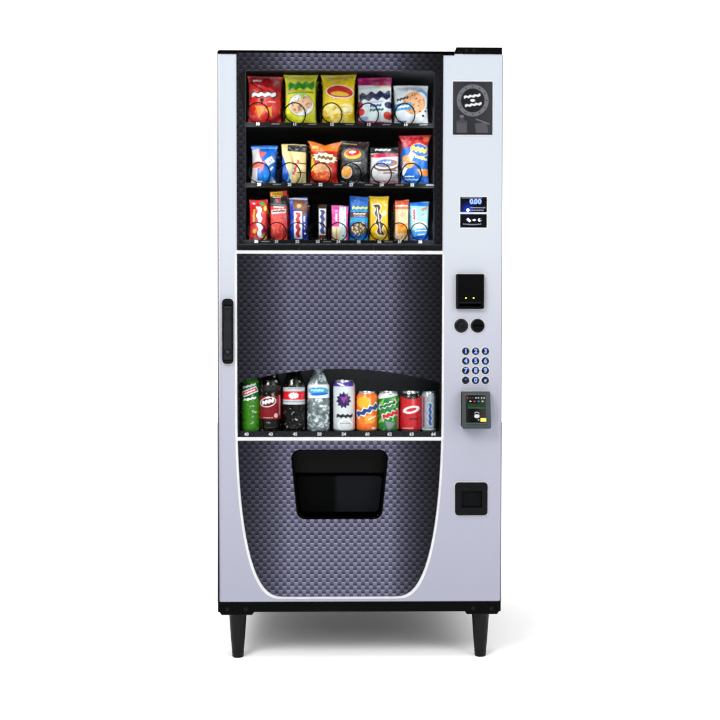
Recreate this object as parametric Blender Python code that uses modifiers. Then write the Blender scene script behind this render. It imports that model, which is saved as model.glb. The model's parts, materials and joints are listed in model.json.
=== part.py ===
"""Snack vending machine, modelled as separate pieces in metres with +Z up.

The machine stands on the floor plane Z = 0. Its front faces -Y and +X is to
the right of someone who stands in front of it. The origin is the middle of
the whole machine's footprint.
"""
import math

import bmesh
import bpy
from mathutils import Matrix, Vector

# ---- driving dimensions -------------------------------------------------
GAP = 0.0003                 # clearance between touching pieces
SHEET = 0.0015               # tray sheet metal

CABINET_HALF_WIDTH = 0.426
CABINET_FRONT = -0.293
CABINET_REAR = 0.465
CABINET_BOTTOM = 0.1785
CABINET_TOP = 1.829

DOOR_HALF_WIDTH = 0.4225
DOOR_FRONT = -0.410
DOOR_BACK = -0.300
DOOR_BOTTOM = 0.1794
DOOR_TOP = 1.818
DOOR_WALL = 0.003
DOOR_SKIN = 0.0025
DOOR_EDGE_RADIUS = 0.008
PIVOT_X = 0.405
PIVOT_Y = -0.385
PIN_RADIUS = 0.006
PIN_CLEARANCE = 0.0004

PANEL_THICKNESS = 0.0016
PANEL_CENTRE_X = -0.0610
PANEL_HALF_WIDTH = 0.306
PANEL_FOOT_HALF_WIDTH = 0.165
PANEL_TOP = 1.8175
PANEL_CURVE_TOP = 0.784
PANEL_BOTTOM = 0.1942
PANEL_CURVE_HEIGHT_POWER = 2.4
PANEL_CURVE_WIDTH_POWER = 2.65

WINDOW_HALF_WIDTH = 0.2830
WINDOW_BOTTOM = 1.251
WINDOW_TOP = 1.768
WINDOW_FLARE = 0.019
WINDOW_FLARE_TOP = 1.745
WINDOW_FLARE_BOTTOM = 1.612
GLASS_THICKNESS = 0.005
GLASS_LAP = 0.009

DISPLAY_HALF_WIDTH = 0.3005
DISPLAY_BOTTOM = 0.6745
DISPLAY_SIDE_TOP = 0.8376
DISPLAY_RISE = 0.0418
DISPLAY_PANE = 0.003

CHUTE_TOP = 0.6367
CHUTE_BOTTOM = 0.4307
CHUTE_TOP_HALF = 0.142
CHUTE_BOTTOM_HALF = 0.1208
CHUTE_RADIUS = 0.024
CHUTE_COLLAR = 0.003
CHUTE_DEPTH = 0.098

FLAP_AXIS = (-0.362, 0.549)
FLAP_BOTTOM = 0.443
FLAP_THICKNESS = 0.006

TRAY_LEFT = -0.378
TRAY_RIGHT = 0.230
TRAY_FRONT = -0.288
TRAY_REAR = 0.300
DIVIDER_HEIGHT = 0.042
SIDE_HEIGHT = 0.055
MOTOR_WALL_HEIGHT = 0.088
RAIL_HEIGHT = 0.0142
RAIL_THICKNESS = 0.004
COIL_TURNS = 6
COIL_FRONT_PITCH = 0.024     # the first half turn, nearly flat, so that it stands as a ring before the packs
COIL_STUB = 0.020
COIL_POINTS_PER_TURN = 8
COIL_LIFT = 0.0015
# tray: floor height, first coil's centre, coil pitch, columns, first number, coil radius, wire radius,
# and how far left of its coil each divider stands
TRAYS = {
    "snack_tray_1": (1.633, -0.3138, 0.1140, 5, 10, 0.0318, 0.0021, 0.0355),
    "snack_tray_2": (1.4475, -0.3098, 0.0946, 6, 20, 0.0318, 0.0021, 0.0380),
    "snack_tray_3": (1.272, -0.3187, 0.0633, 9, 30, 0.0272, 0.0018, 0.0304),
}

KEY_COLUMNS = (0.3169, 0.3466, 0.3759)
KEY_ROWS = (0.9322, 0.9030, 0.8743, 0.8449)
KEY_NAMES = (
    ("key_1", "key_2", "key_3"),
    ("key_4", "key_5", "key_6"),
    ("key_7", "key_8", "key_9"),
    ("key_star", "key_0", "key_hash"),
)
KEY_RADIUS = 0.0114
KEY_PROUD = 0.0035
KEY_BACK = 0.0110

COIN_HEAD_Z = 1.0088
COIN_BUTTON_X = 0.303
COIN_SLOT_X = 0.3522
COIN_HEAD_RADIUS = 0.0212
COIN_BUTTON_RADIUS = 0.0140
COIN_BUTTON_FRONT = -0.4190

LEG_X = 0.370
LEG_FRONT_Y = -0.360
LEG_REAR_Y = 0.410
LEG_PLATE_BOTTOM = 0.1389
BASE_BOTTOM = 0.1476
BASE_TOP = 0.1782

HANDLE_X = -0.395
HANDLE_LOW = 0.8934
HANDLE_HIGH = 1.0884
LEVER_PIVOT = (-0.4125, 1.060)

# ---- colours: (red, green, blue), roughness, metallic -------------------
SILVER = ((0.74, 0.76, 0.82), 0.35, 0.1)
BLACK_PAINT = ((0.012, 0.012, 0.014), 0.45, 0.0)
BLACK_PLASTIC = ((0.018, 0.018, 0.020), 0.5, 0.0)
DARK_PANEL = ((0.09, 0.088, 0.13), 0.3, 0.0)
CLEAR = ((0.8, 0.85, 0.87), 0.05, 0.0)
TRAY_PAINT = ((0.02, 0.02, 0.022), 0.4, 0.0)
WIRE = ((0.015, 0.015, 0.016), 0.35, 0.3)
STEEL = ((0.45, 0.46, 0.48), 0.35, 1.0)
NAVY_KEY = ((0.02, 0.028, 0.10), 0.3, 0.0)
READER_GREY = ((0.30, 0.34, 0.31), 0.45, 0.0)


# ---- modelling helpers --------------------------------------------------
def clear_scene():
    for item in list(bpy.data.objects):
        bpy.data.objects.remove(item, do_unlink=True)
    for group in list(bpy.data.collections):
        bpy.data.collections.remove(group)


def new_collection(name):
    group = bpy.data.collections.new(name)
    bpy.context.scene.collection.children.link(group)
    return group


def make_material(name, look):
    colour, roughness, metallic = look
    material = bpy.data.materials.new(name)
    material.use_nodes = True
    shader = material.node_tree.nodes["Principled BSDF"]
    shader.inputs["Base Color"].default_value = (*colour, 1.0)
    shader.inputs["Roughness"].default_value = roughness
    shader.inputs["Metallic"].default_value = metallic
    material.diffuse_color = (*colour, 1.0)
    return material


def add_object(name, data, look=None):
    """Put a mesh or a curve in the machine, or among the tools when it has no look."""
    item = bpy.data.objects.new(name, data)
    if look is None:
        TOOLS.objects.link(item)
        item.hide_render = True
        item.display_type = "WIRE"
    else:
        MACHINE.objects.link(item)
        data.materials.append(make_material(name, look))
    return item


def set_origin(item, point):
    """Move an object's origin to a point on its joint's axis and leave its shape in place."""
    item.data.transform(Matrix.Translation(-Vector(point)))
    item.location = point
    return item


def add_boolean(item, operation, tool):
    modifier = item.modifiers.new(operation.lower() + "_" + tool.name, "BOOLEAN")
    modifier.operation = operation
    modifier.object = tool
    modifier.solver = "EXACT"


def cut(item, *tools):
    for tool in tools:
        add_boolean(item, "DIFFERENCE", tool)


def join(item, *tools):
    for tool in tools:
        add_boolean(item, "UNION", tool)


def block(name, low, high, look=None, radius=0.0, along=None, segments=3):
    """A box from its low corner to its high corner, with all its edges, or those along one axis, rounded."""
    shape = bmesh.new()
    bmesh.ops.create_cube(shape, size=1.0)
    low = Vector(low)
    high = Vector(high)
    bmesh.ops.scale(shape, vec=high - low, verts=shape.verts)
    bmesh.ops.translate(shape, vec=(high + low) / 2, verts=shape.verts)
    if radius:
        edges = [edge for edge in shape.edges if along is None or runs_along(edge, along)]
        bmesh.ops.bevel(shape, geom=edges, offset=radius, segments=segments, profile=0.5, affect="EDGES")
    mesh = bpy.data.meshes.new(name)
    shape.to_mesh(mesh)
    shape.free()
    return add_object(name, mesh, look)


def runs_along(edge, axis):
    direction = (edge.verts[1].co - edge.verts[0].co).normalized()
    return abs(direction["XYZ".index(axis)]) > 0.99


def plate(name, outlines, plane, low, high, look=None):
    """A flat outline, with any holes, extruded from low to high across its plane."""
    curve = bpy.data.curves.new(name, "CURVE")
    curve.dimensions = "2D"
    curve.fill_mode = "BOTH"
    curve.extrude = (high - low) / 2
    for outline in outlines:
        spline = curve.splines.new("POLY")
        spline.points.add(len(outline) - 1)
        for point, (across, up) in zip(spline.points, outline):
            point.co = (across, up, 0.0, 1.0)
        spline.use_cyclic_u = True
    guide = bpy.data.objects.new(name + "_outline", curve)
    bpy.context.scene.collection.objects.link(guide)
    middle = (high + low) / 2
    turn = {
        "XZ": Matrix.Translation((0, middle, 0)) @ Matrix.Rotation(math.pi / 2, 4, "X"),
        "YZ": Matrix.Translation((middle, 0, 0))
        @ Matrix.Rotation(math.pi / 2, 4, "Z")
        @ Matrix.Rotation(math.pi / 2, 4, "X"),
        "XY": Matrix.Translation((0, 0, middle)),
    }[plane]
    bpy.context.view_layer.update()
    graph = bpy.context.evaluated_depsgraph_get()
    mesh = bpy.data.meshes.new_from_object(guide.evaluated_get(graph))
    mesh.name = name
    mesh.materials.clear()
    bpy.data.objects.remove(guide, do_unlink=True)
    bpy.data.curves.remove(curve)
    shape = bmesh.new()
    shape.from_mesh(mesh)
    bmesh.ops.remove_doubles(shape, verts=shape.verts, dist=0.00001)
    bmesh.ops.transform(shape, matrix=turn, verts=shape.verts)
    bmesh.ops.recalc_face_normals(shape, faces=shape.faces)
    shape.to_mesh(mesh)
    shape.free()
    return add_object(name, mesh, look)


def turned(name, profile, place, look=None, facing=None, steps=16):
    """A profile of (radius, height) points, top to bottom, turned about Z, or about -Y to face front."""
    mesh = bpy.data.meshes.new(name)
    edges = [(index, index + 1) for index in range(len(profile) - 1)]
    mesh.from_pydata([(radius, 0.0, height) for radius, height in profile], edges, [])
    item = add_object(name, mesh, look)
    item.location = place
    if facing == "front":
        item.rotation_euler = (math.pi / 2, 0.0, 0.0)
    screw = item.modifiers.new("turn", "SCREW")
    screw.axis = "Z"
    screw.steps = steps
    screw.render_steps = steps
    screw.use_merge_vertices = True
    screw.merge_threshold = 0.00001
    screw.use_smooth_shade = True
    return item


def rod(name, place, radius, low, high, facing=None, look=None, steps=16):
    """A plain round rod along Z from low to high, or along -Y from low to high outwards."""
    profile = [(0.0, high), (radius, high), (radius, low), (0.0, low)]
    return turned(name, profile, place, look, facing, steps)


def arc(centre, radius, start, end, count):
    """Points on a circle from one angle to another, in degrees."""
    points = []
    for index in range(count + 1):
        angle = math.radians(start + (end - start) * index / count)
        points.append((centre[0] + radius * math.cos(angle), centre[1] + radius * math.sin(angle)))
    return points


def trapezium(centre, bottom, top, bottom_half, top_half, radius, count=3):
    """A symmetric outline, wider at the top, with its corners rounded."""
    lean = math.degrees(math.atan2(top_half - bottom_half, top - bottom))
    slope = math.radians(lean)
    top_inset = radius * math.tan((math.pi / 2 + slope) / 2)
    bottom_inset = radius * math.tan((math.pi / 2 - slope) / 2)
    right = arc((centre + bottom_half - bottom_inset, bottom + radius), radius, -90, -lean, count)
    right += arc((centre + top_half - top_inset, top - radius), radius, -lean, 90, count)
    left = [(2 * centre - across, up) for across, up in reversed(right)]
    return right + left


# ---- outlines that several pieces share ----------------------------------
def shield_outline():
    """The printed panel: straight sides that curve in to a narrower foot."""
    right = []
    steps = 18
    for index in range(steps + 1):
        turn = math.pi / 2 * index / steps
        drop = math.sin(turn) ** (2 / PANEL_CURVE_HEIGHT_POWER)
        width = max(0.0, 1.0 - drop**PANEL_CURVE_HEIGHT_POWER) ** (1 / PANEL_CURVE_WIDTH_POWER)
        half = PANEL_FOOT_HALF_WIDTH + (PANEL_HALF_WIDTH - PANEL_FOOT_HALF_WIDTH) * width
        height = PANEL_CURVE_TOP - (PANEL_CURVE_TOP - PANEL_BOTTOM) * drop
        right.append((PANEL_CENTRE_X + half, height))
    right.insert(0, (PANEL_CENTRE_X + PANEL_HALF_WIDTH + 0.002, PANEL_TOP))
    left = [(2 * PANEL_CENTRE_X - across, up) for across, up in reversed(right)]
    return right + left


def window_outline():
    """The printed panel's upper window, which flares out towards its top corners."""
    half = WINDOW_HALF_WIDTH
    widest = half + WINDOW_FLARE
    right = [(half, WINDOW_BOTTOM), (half, WINDOW_FLARE_BOTTOM)]
    steps = 6
    for index in range(1, steps + 1):
        rise = index / steps
        spread = (1 - math.cos(math.pi * rise)) / 2
        height = WINDOW_FLARE_BOTTOM + (WINDOW_FLARE_TOP - WINDOW_FLARE_BOTTOM) * rise
        right.append((half + WINDOW_FLARE * spread, height))
    right.append((widest - 0.004, WINDOW_FLARE_TOP + 0.011))
    right.append((half - 0.007, WINDOW_TOP))
    outline = [(PANEL_CENTRE_X + across, up) for across, up in right]
    outline += [(PANEL_CENTRE_X - across, up) for across, up in reversed(right)]
    return outline


def arch_outline(lap=0.0):
    """The drinks display: a wide opening with a shallow arched top."""
    half = DISPLAY_HALF_WIDTH
    radius = (half**2 + DISPLAY_RISE**2) / (2 * DISPLAY_RISE)
    centre_z = DISPLAY_SIDE_TOP + DISPLAY_RISE - radius
    spread = math.degrees(math.asin((half + lap) / (radius + lap)))
    top = arc((PANEL_CENTRE_X, centre_z), radius + lap, 90 - spread, 90 + spread, 14)
    bottom = DISPLAY_BOTTOM - lap
    return top + [(PANEL_CENTRE_X - half - lap, bottom), (PANEL_CENTRE_X + half + lap, bottom)]


def chute_outline(lap=0.0):
    return trapezium(
        PANEL_CENTRE_X,
        CHUTE_BOTTOM - lap,
        CHUTE_TOP + lap,
        CHUTE_BOTTOM_HALF + lap,
        CHUTE_TOP_HALF + lap,
        CHUTE_RADIUS + lap,
    )


def comb_outline(left, right, floor, side_top, divider_top, dividers, sheet):
    """A floor with an upright at each side and lower uprights between the columns."""
    under = floor - sheet
    points = [(left, side_top), (left, under), (right, under), (right, side_top)]
    points += [(right - sheet, side_top), (right - sheet, floor)]
    for place in reversed(dividers):
        points += [(place + sheet / 2, floor), (place + sheet / 2, divider_top)]
        points += [(place - sheet / 2, divider_top), (place - sheet / 2, floor)]
    points += [(left + sheet, floor), (left + sheet, side_top)]
    return points


# ---- cabinet, base and what stands inside --------------------------------
def build_cabinet():
    cabinet = block(
        "insulated_cabinet",
        (-CABINET_HALF_WIDTH, CABINET_FRONT, CABINET_BOTTOM),
        (CABINET_HALF_WIDTH, CABINET_REAR, CABINET_TOP),
        BLACK_PAINT,
        radius=0.004,
        along="Y",
        segments=1,
    )
    cut(
        cabinet,
        block("product_cavity", (-0.386, -0.31, 0.405), (0.238, 0.405, 1.801), radius=0.012, along="Y"),
        block("control_cavity", (0.262, -0.31, 0.230), (0.412, -0.150, 1.789)),
        block("machine_bay", (-0.386, -0.240, 0.200), (0.386, 0.440, 0.380)),
        block("rear_vent", (-0.330, 0.400, 0.215), (0.250, 0.480, 0.365)),
        block("inlet_pocket", (0.300, 0.445, 0.270), (0.330, 0.480, 0.294)),
    )


def build_base():
    front = -0.405
    rear = CABINET_REAR - 0.0005
    half = CABINET_HALF_WIDTH - 0.0005
    base = block("base_frame", (-half, front, BASE_BOTTOM), (half, rear, BASE_TOP), BLACK_PAINT)
    cut(base, block("base_hollow", (-0.386, front + 0.04, 0.12), (0.386, rear - 0.04, 0.20)))
    plate_outline = [(0.312, 0.155), (0.324, LEG_PLATE_BOTTOM), (0.415, LEG_PLATE_BOTTOM), (half, 0.155)]
    for side, sign in (("right", 1), ("left", -1)):
        outline = [(sign * across, up) for across, up in plate_outline]
        join(base, plate("leg_plate_front_" + side, [outline], "XZ", front, front + 0.092))
        join(base, plate("leg_plate_rear_" + side, [outline], "XZ", rear - 0.101, rear))
    join(base, rod("lower_hinge_pin", (PIVOT_X, PIVOT_Y, 0.0), PIN_RADIUS, 0.170, 0.194, steps=12))


def build_legs():
    top = LEG_PLATE_BOTTOM - GAP
    profile = [
        (0.0, top),
        (0.0290, top),
        (0.0290, top - 0.006),
        (0.0253, top - 0.012),
        (0.0165, 0.016),
        (0.0165, 0.004),
        (0.0140, 0.0),
        (0.0, 0.0),
    ]
    for side, place_x in (("left", -LEG_X), ("right", LEG_X)):
        turned("leg_front_" + side, profile, (place_x, LEG_FRONT_Y, 0.0), BLACK_PAINT)
        turned("leg_rear_" + side, profile, (place_x, LEG_REAR_Y, 0.0), BLACK_PAINT)


def build_top_hinge():
    top = 1.8386
    under = DOOR_TOP + 0.0006
    outline = [(0.306, under), (0.423, under), (0.423, top), (0.2856, top), (0.2856, top - 0.004)]
    bracket = plate("top_hinge_bracket", [outline], "XZ", -0.412, -0.205, BLACK_PAINT)
    cut(
        bracket,
        block("over_cabinet", (0.27, CABINET_FRONT - 0.004, 1.80), (0.44, -0.19, CABINET_TOP + GAP)),
    )
    join(bracket, rod("upper_hinge_pin", (PIVOT_X, PIVOT_Y, 0.0), PIN_RADIUS, 1.802, 1.824, steps=12))


def build_refrigeration():
    unit = block("refrigeration_unit", (-0.350, -0.200, 0.2005), (0.350, 0.395, 0.2085), STEEL)
    shell = [
        (0.0, 0.375),
        (0.045, 0.368),
        (0.078, 0.345),
        (0.086, 0.300),
        (0.086, 0.225),
        (0.070, 0.204),
        (0.0, 0.204),
    ]
    join(
        unit,
        turned("compressor", shell, (0.200, 0.020, 0.0), steps=20),
        block("condenser", (-0.300, 0.335, 0.205), (0.060, 0.390, 0.372)),
        rod("fan_shroud", (-0.120, 0.345, 0.288), 0.070, 0.0, 0.060, facing="front", steps=20),
        block("evaporator_box", (-0.320, -0.180, 0.205), (0.040, 0.120, 0.350)),
    )


def build_delivery_bin():
    """A scoop behind the delivery opening: open at the top and, above a low lip, at the front."""
    front = -0.286
    back = -0.055
    left = -0.239
    right = 0.119
    floor = 0.4085
    top = 0.640
    ramp_top = 0.470
    ramp_depth = 0.040
    lip_top = 0.436
    wall = 0.003
    outside = [
        (front, floor),
        (back - ramp_depth, floor),
        (back, ramp_top),
        (back, top),
        (-0.180, top),
        (front, 0.520),
    ]
    inside = [
        (front + wall, floor + wall),
        (back - ramp_depth - wall / 2, floor + wall),
        (back - wall, ramp_top + wall / 2),
        (back - wall, top + 0.05),
        (front - 0.02, top + 0.05),
        (front - 0.02, lip_top),
        (front + wall, lip_top),
    ]
    scoop = plate("delivery_bin", [outside], "YZ", left, right, BLACK_PLASTIC)
    cut(scoop, plate("bin_hollow", [inside], "YZ", left + wall, right - wall))


def build_tray(name):
    floor, first, pitch, count, first_number, coil_radius, wire_radius, divider_offset = TRAYS[name]
    columns = [first + pitch * index for index in range(count)]
    dividers = [place - divider_offset for place in columns[1:]]
    outline = comb_outline(
        TRAY_LEFT, TRAY_RIGHT, floor, floor + SIDE_HEIGHT, floor + DIVIDER_HEIGHT, dividers, SHEET
    )
    tray = plate(name, [outline], "XZ", TRAY_FRONT + 0.002, TRAY_REAR, TRAY_PAINT)
    rail_low = (TRAY_LEFT, TRAY_FRONT, floor + 0.0015 - RAIL_HEIGHT)
    rail_high = (TRAY_RIGHT, TRAY_FRONT + RAIL_THICKNESS, floor + 0.0015)
    wall_low = (TRAY_LEFT, TRAY_REAR - 0.003, floor - SHEET / 2)
    wall_high = (TRAY_RIGHT, TRAY_REAR + 0.001, floor + MOTOR_WALL_HEIGHT)
    join(tray, block(name + "_rail", rail_low, rail_high), block(name + "_motor_wall", wall_low, wall_high))
    axis_z = floor + coil_radius + wire_radius + COIL_LIFT
    for index, place in enumerate(columns):
        front_end = (place, TRAY_FRONT + 0.012, axis_z)
        build_spiral("spiral_%d" % (first_number + index), front_end, coil_radius, wire_radius)


def build_spiral(name, place, radius, wire):
    """A wire coil about a front-to-back axis, with its end bent to the axis as the motor's drive stub."""
    stub_end = TRAY_REAR - 0.003 - GAP - place[1]
    last_turn = stub_end - COIL_STUB
    pitch = (last_turn - COIL_FRONT_PITCH / 2) / (COIL_TURNS - 0.5)
    points = []
    for index in range(COIL_TURNS * COIL_POINTS_PER_TURN + 1):
        turns = index / COIL_POINTS_PER_TURN
        angle = math.pi + 2 * math.pi * turns
        depth = COIL_FRONT_PITCH * min(turns, 0.5) + pitch * max(turns - 0.5, 0.0)
        points.append((radius * math.sin(angle), depth, radius * math.cos(angle)))
    points.append((0.0, last_turn + 0.004, 0.0))
    points.append((0.0, stub_end, 0.0))
    curve = bpy.data.curves.new(name, "CURVE")
    curve.dimensions = "3D"
    curve.bevel_depth = wire
    curve.bevel_resolution = 0
    curve.use_fill_caps = True
    spline = curve.splines.new("POLY")
    spline.points.add(len(points) - 1)
    for point, spot in zip(spline.points, points):
        point.co = (*spot, 1.0)
    coil = add_object(name, curve, WIRE)
    coil.location = place


def build_drink_rack():
    """Upright lanes for nine stacks of cans and bottles, above the delivery bin."""
    left = -0.378
    right = 0.230
    lanes = 9
    floor = 0.668
    top = 1.190
    dividers = [left + (right - left) * (index + 1) / lanes for index in range(lanes - 1)]
    outline = comb_outline(left, right, floor, top, top, dividers, 0.002)
    rack = plate("drink_rack", [outline], "XZ", -0.180, 0.360, TRAY_PAINT)
    join(rack, block("rack_back", (left, 0.358, floor - 0.001), (right, 0.362, top)))


# ---- door and the pieces fixed to it --------------------------------------
def build_door_frame():
    door = block(
        "door_frame",
        (-DOOR_HALF_WIDTH, DOOR_FRONT, DOOR_BOTTOM),
        (DOOR_HALF_WIDTH, DOOR_BACK, DOOR_TOP),
        SILVER,
        radius=DOOR_EDGE_RADIUS,
        along="Z",
    )
    inner_half = DOOR_HALF_WIDTH - DOOR_WALL
    inner_front = DOOR_FRONT + DOOR_SKIN
    cut(
        door,
        block(
            "door_hollow",
            (-inner_half, inner_front, DOOR_BOTTOM + DOOR_WALL),
            (inner_half, DOOR_BACK + 0.01, DOOR_TOP - DOOR_WALL),
            radius=DOOR_EDGE_RADIUS - DOOR_SKIN,
            along="Z",
        ),
    )
    outer = DOOR_FRONT - 0.01
    inner = DOOR_FRONT + 0.008
    cut(
        door,
        block(
            "window_cut",
            (PANEL_CENTRE_X - WINDOW_HALF_WIDTH, outer, WINDOW_BOTTOM),
            (PANEL_CENTRE_X + WINDOW_HALF_WIDTH, inner, WINDOW_TOP),
        ),
        plate("display_cut", [arch_outline()], "XZ", outer, inner),
        plate("chute_cut", [chute_outline()], "XZ", outer, inner),
        block("handle_cut", (-0.4095, outer, 0.897), (-0.3805, inner, 1.085)),
        block("upper_screen_cut", (0.2985, outer, 1.3480), (0.3790, inner, 1.3940)),
        block("lower_screen_cut", (0.2985, outer, 1.3018), (0.3790, inner, 1.3430)),
        block("validator_cut", (0.2895, outer, 1.0620), (0.3665, inner, 1.1595)),
        block("coin_cup_cut", (0.2990, outer, 0.4535), (0.3725, inner, 0.5235)),
    )
    head_place = (COIN_BUTTON_X, 0.0, COIN_HEAD_Z)
    slot_place = (COIN_SLOT_X, 0.0, COIN_HEAD_Z)
    hole = COIN_HEAD_RADIUS + GAP
    cut(
        door,
        rod("coin_button_hole", head_place, hole, -inner, -outer, facing="front", steps=20),
        rod("coin_slot_hole", slot_place, hole, -inner, -outer, facing="front", steps=20),
    )
    for names, row in zip(KEY_NAMES, KEY_ROWS):
        for name, column in zip(names, KEY_COLUMNS):
            place = (column, 0.0, row)
            cut(door, rod(name + "_hole", place, KEY_RADIUS + GAP, -inner, -outer, facing="front", steps=12))
    mullion_low = (0.2505, inner_front - 0.001, DOOR_BOTTOM + 0.0015)
    mullion_high = (0.2565, DOOR_BACK - 0.003, DOOR_TOP - 0.0015)
    collar = plate(
        "chute_collar",
        [chute_outline(0.001 + CHUTE_COLLAR), chute_outline(0.001)],
        "XZ",
        inner_front - 0.001,
        DOOR_FRONT + CHUTE_DEPTH,
    )
    hinge_rail = block(
        "flap_hinge_rail",
        (PANEL_CENTRE_X - CHUTE_TOP_HALF + 0.002, FLAP_AXIS[0] + 0.008, FLAP_AXIS[1] + 0.012),
        (PANEL_CENTRE_X + CHUTE_TOP_HALF - 0.002, FLAP_AXIS[0] + 0.012, CHUTE_TOP + 0.003),
    )
    join(door, block("mullion", mullion_low, mullion_high), collar, hinge_rail)
    bore = PIN_RADIUS + PIN_CLEARANCE
    pivot = (PIVOT_X, PIVOT_Y, 0.0)
    cut(
        door,
        rod("upper_pin_bore", pivot, bore, DOOR_TOP - 0.01, DOOR_TOP + 0.01, steps=12),
        rod("lower_pin_bore", pivot, bore, DOOR_BOTTOM - 0.01, DOOR_BOTTOM + 0.01, steps=12),
    )
    return door


def build_front_panel():
    back = DOOR_FRONT - GAP
    outlines = [shield_outline(), window_outline(), arch_outline(), chute_outline()]
    plate("front_panel", outlines, "XZ", back - PANEL_THICKNESS, back, DARK_PANEL)


def build_panes():
    front = DOOR_FRONT + DOOR_SKIN + GAP
    half = WINDOW_HALF_WIDTH + GLASS_LAP
    block(
        "window_glass",
        (PANEL_CENTRE_X - half, front, WINDOW_BOTTOM - GLASS_LAP),
        (PANEL_CENTRE_X + half, front + GLASS_THICKNESS, WINDOW_TOP + GLASS_LAP),
        CLEAR,
    )
    plate("display_window", [arch_outline(0.006)], "XZ", front, front + DISPLAY_PANE, CLEAR)


def build_display_shelf():
    """A shelf box behind the display pane, with a lid that falling snacks slide off."""
    front = DOOR_FRONT + DOOR_SKIN + 2 * GAP + DISPLAY_PANE
    back = DOOR_BACK - 0.004
    low = 0.6650
    floor = 0.6860
    lip_top = 0.6914
    lid_back = 0.890
    lid_front = 0.930
    wall = 0.003
    ahead = front - 0.01
    outside = [(front, low), (back, low), (back, lid_back), (front, lid_front)]
    inside = [
        (ahead, lip_top),
        (front + wall, lip_top),
        (front + wall, floor),
        (back - wall, floor),
        (back - wall, lid_back - wall),
        (ahead, lid_front - 2 * wall),
    ]
    left = PANEL_CENTRE_X - DISPLAY_HALF_WIDTH - 0.011
    right = PANEL_CENTRE_X + DISPLAY_HALF_WIDTH + 0.0105
    shelf = plate("display_shelf", [outside], "YZ", left, right, BLACK_PLASTIC)
    cut(shelf, plate("shelf_hollow", [inside], "YZ", left + wall, right - wall))


def build_delivery_flap():
    axis_y, axis_z = FLAP_AXIS
    clearance = 0.003
    lean = (CHUTE_TOP_HALF - CHUTE_BOTTOM_HALF) / (CHUTE_TOP - CHUTE_BOTTOM)
    bottom_half = CHUTE_BOTTOM_HALF + lean * (FLAP_BOTTOM - CHUTE_BOTTOM) - clearance
    top_half = CHUTE_BOTTOM_HALF + lean * (axis_z - CHUTE_BOTTOM) - clearance
    half_thickness = FLAP_THICKNESS / 2
    top = axis_z + half_thickness
    outline = trapezium(
        PANEL_CENTRE_X, FLAP_BOTTOM, top, bottom_half - 0.001, top_half, radius=0.010, count=2
    )
    front = axis_y - half_thickness
    back = axis_y + half_thickness
    flap = plate("delivery_flap", [outline], "XZ", front, back, BLACK_PLASTIC)
    set_origin(flap, (PANEL_CENTRE_X, axis_y, axis_z))


def build_handle():
    front = DOOR_FRONT - 0.009
    flange = block(
        "handle_housing",
        (HANDLE_X - 0.017, front, HANDLE_LOW),
        (HANDLE_X + 0.017, DOOR_FRONT - GAP, HANDLE_HIGH),
        BLACK_PLASTIC,
        radius=0.012,
        along="Y",
        segments=4,
    )
    join(flange, block("handle_body", (-0.4090, DOOR_FRONT - 0.002, 0.8975), (-0.3810, -0.392, 1.0845)))
    cut(flange, block("handle_pocket", (-0.4068, front - 0.01, 0.904), (-0.3832, -0.396, 1.0702)))
    pivot_y, pivot_z = LEVER_PIVOT
    nose = 0.0078
    profile = arc((pivot_y, pivot_z), nose, 180, 0, 6)
    profile += [(pivot_y + 0.0045, pivot_z - 0.012), (pivot_y + 0.0045, 0.9065), (pivot_y - nose, 0.9065)]
    lever = plate("handle_lever", [profile], "YZ", -0.4063, -0.3837, BLACK_PLASTIC)
    set_origin(lever, (HANDLE_X, pivot_y, pivot_z))


def build_selection_display():
    body_front = DOOR_FRONT + DOOR_SKIN + GAP
    low_x = 0.2988
    high_x = 0.3787
    front = DOOR_FRONT - 0.0008
    body = block("selection_display", (0.294, body_front, 1.297), (0.3835, -0.386, 1.3985), BLACK_PLASTIC)
    join(
        body,
        block("upper_screen", (low_x, front, 1.3483), (high_x, body_front + 0.001, 1.3937)),
        block("lower_screen", (low_x, front, 1.3021), (high_x, body_front + 0.001, 1.3427)),
    )


def build_bill_validator():
    bezel = block(
        "bill_validator",
        (0.2860, -0.4250, 1.0585),
        (0.3700, DOOR_FRONT - GAP, 1.1630),
        BLACK_PLASTIC,
        radius=0.004,
        along="Y",
        segments=2,
    )
    join(bezel, block("validator_body", (0.2900, DOOR_FRONT - 0.001, 1.0625), (0.3660, -0.303, 1.1590)))
    cut(bezel, block("bill_mouth", (0.2965, -0.435, 1.0655), (0.3595, -0.350, 1.0745)))


def build_coin_mechanism():
    """The coin heads at the door's face, and the coin changer that hangs behind the keypad."""
    skin_back = DOOR_FRONT + DOOR_SKIN + GAP
    head = block("coin_mechanism", (0.2740, skin_back, 0.9760), (0.3850, -0.345, 1.0420), BLACK_PLASTIC)
    dome = [
        (0.0, 0.4160),
        (0.0180, 0.4155),
        (COIN_HEAD_RADIUS, 0.4125),
        (COIN_HEAD_RADIUS, 0.4050),
        (0.0, 0.4050),
    ]
    join(
        head,
        block("coin_changer", (0.2720, -0.378, 0.570), (0.3880, -0.304, 1.000)),
        turned("button_head", dome, (COIN_BUTTON_X, 0.0, COIN_HEAD_Z), facing="front", steps=20),
        turned("slot_head", dome, (COIN_SLOT_X, 0.0, COIN_HEAD_Z), facing="front", steps=20),
    )
    bore = COIN_BUTTON_RADIUS + 0.0006
    slot_low = (COIN_SLOT_X - 0.014, -0.430, COIN_HEAD_Z - 0.0023)
    slot_high = (COIN_SLOT_X + 0.014, -0.380, COIN_HEAD_Z + 0.0023)
    cut(
        head,
        rod("button_bore", (COIN_BUTTON_X, 0.0, COIN_HEAD_Z), bore, 0.395, 0.430, facing="front"),
        block("coin_slot", slot_low, slot_high),
    )


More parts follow.
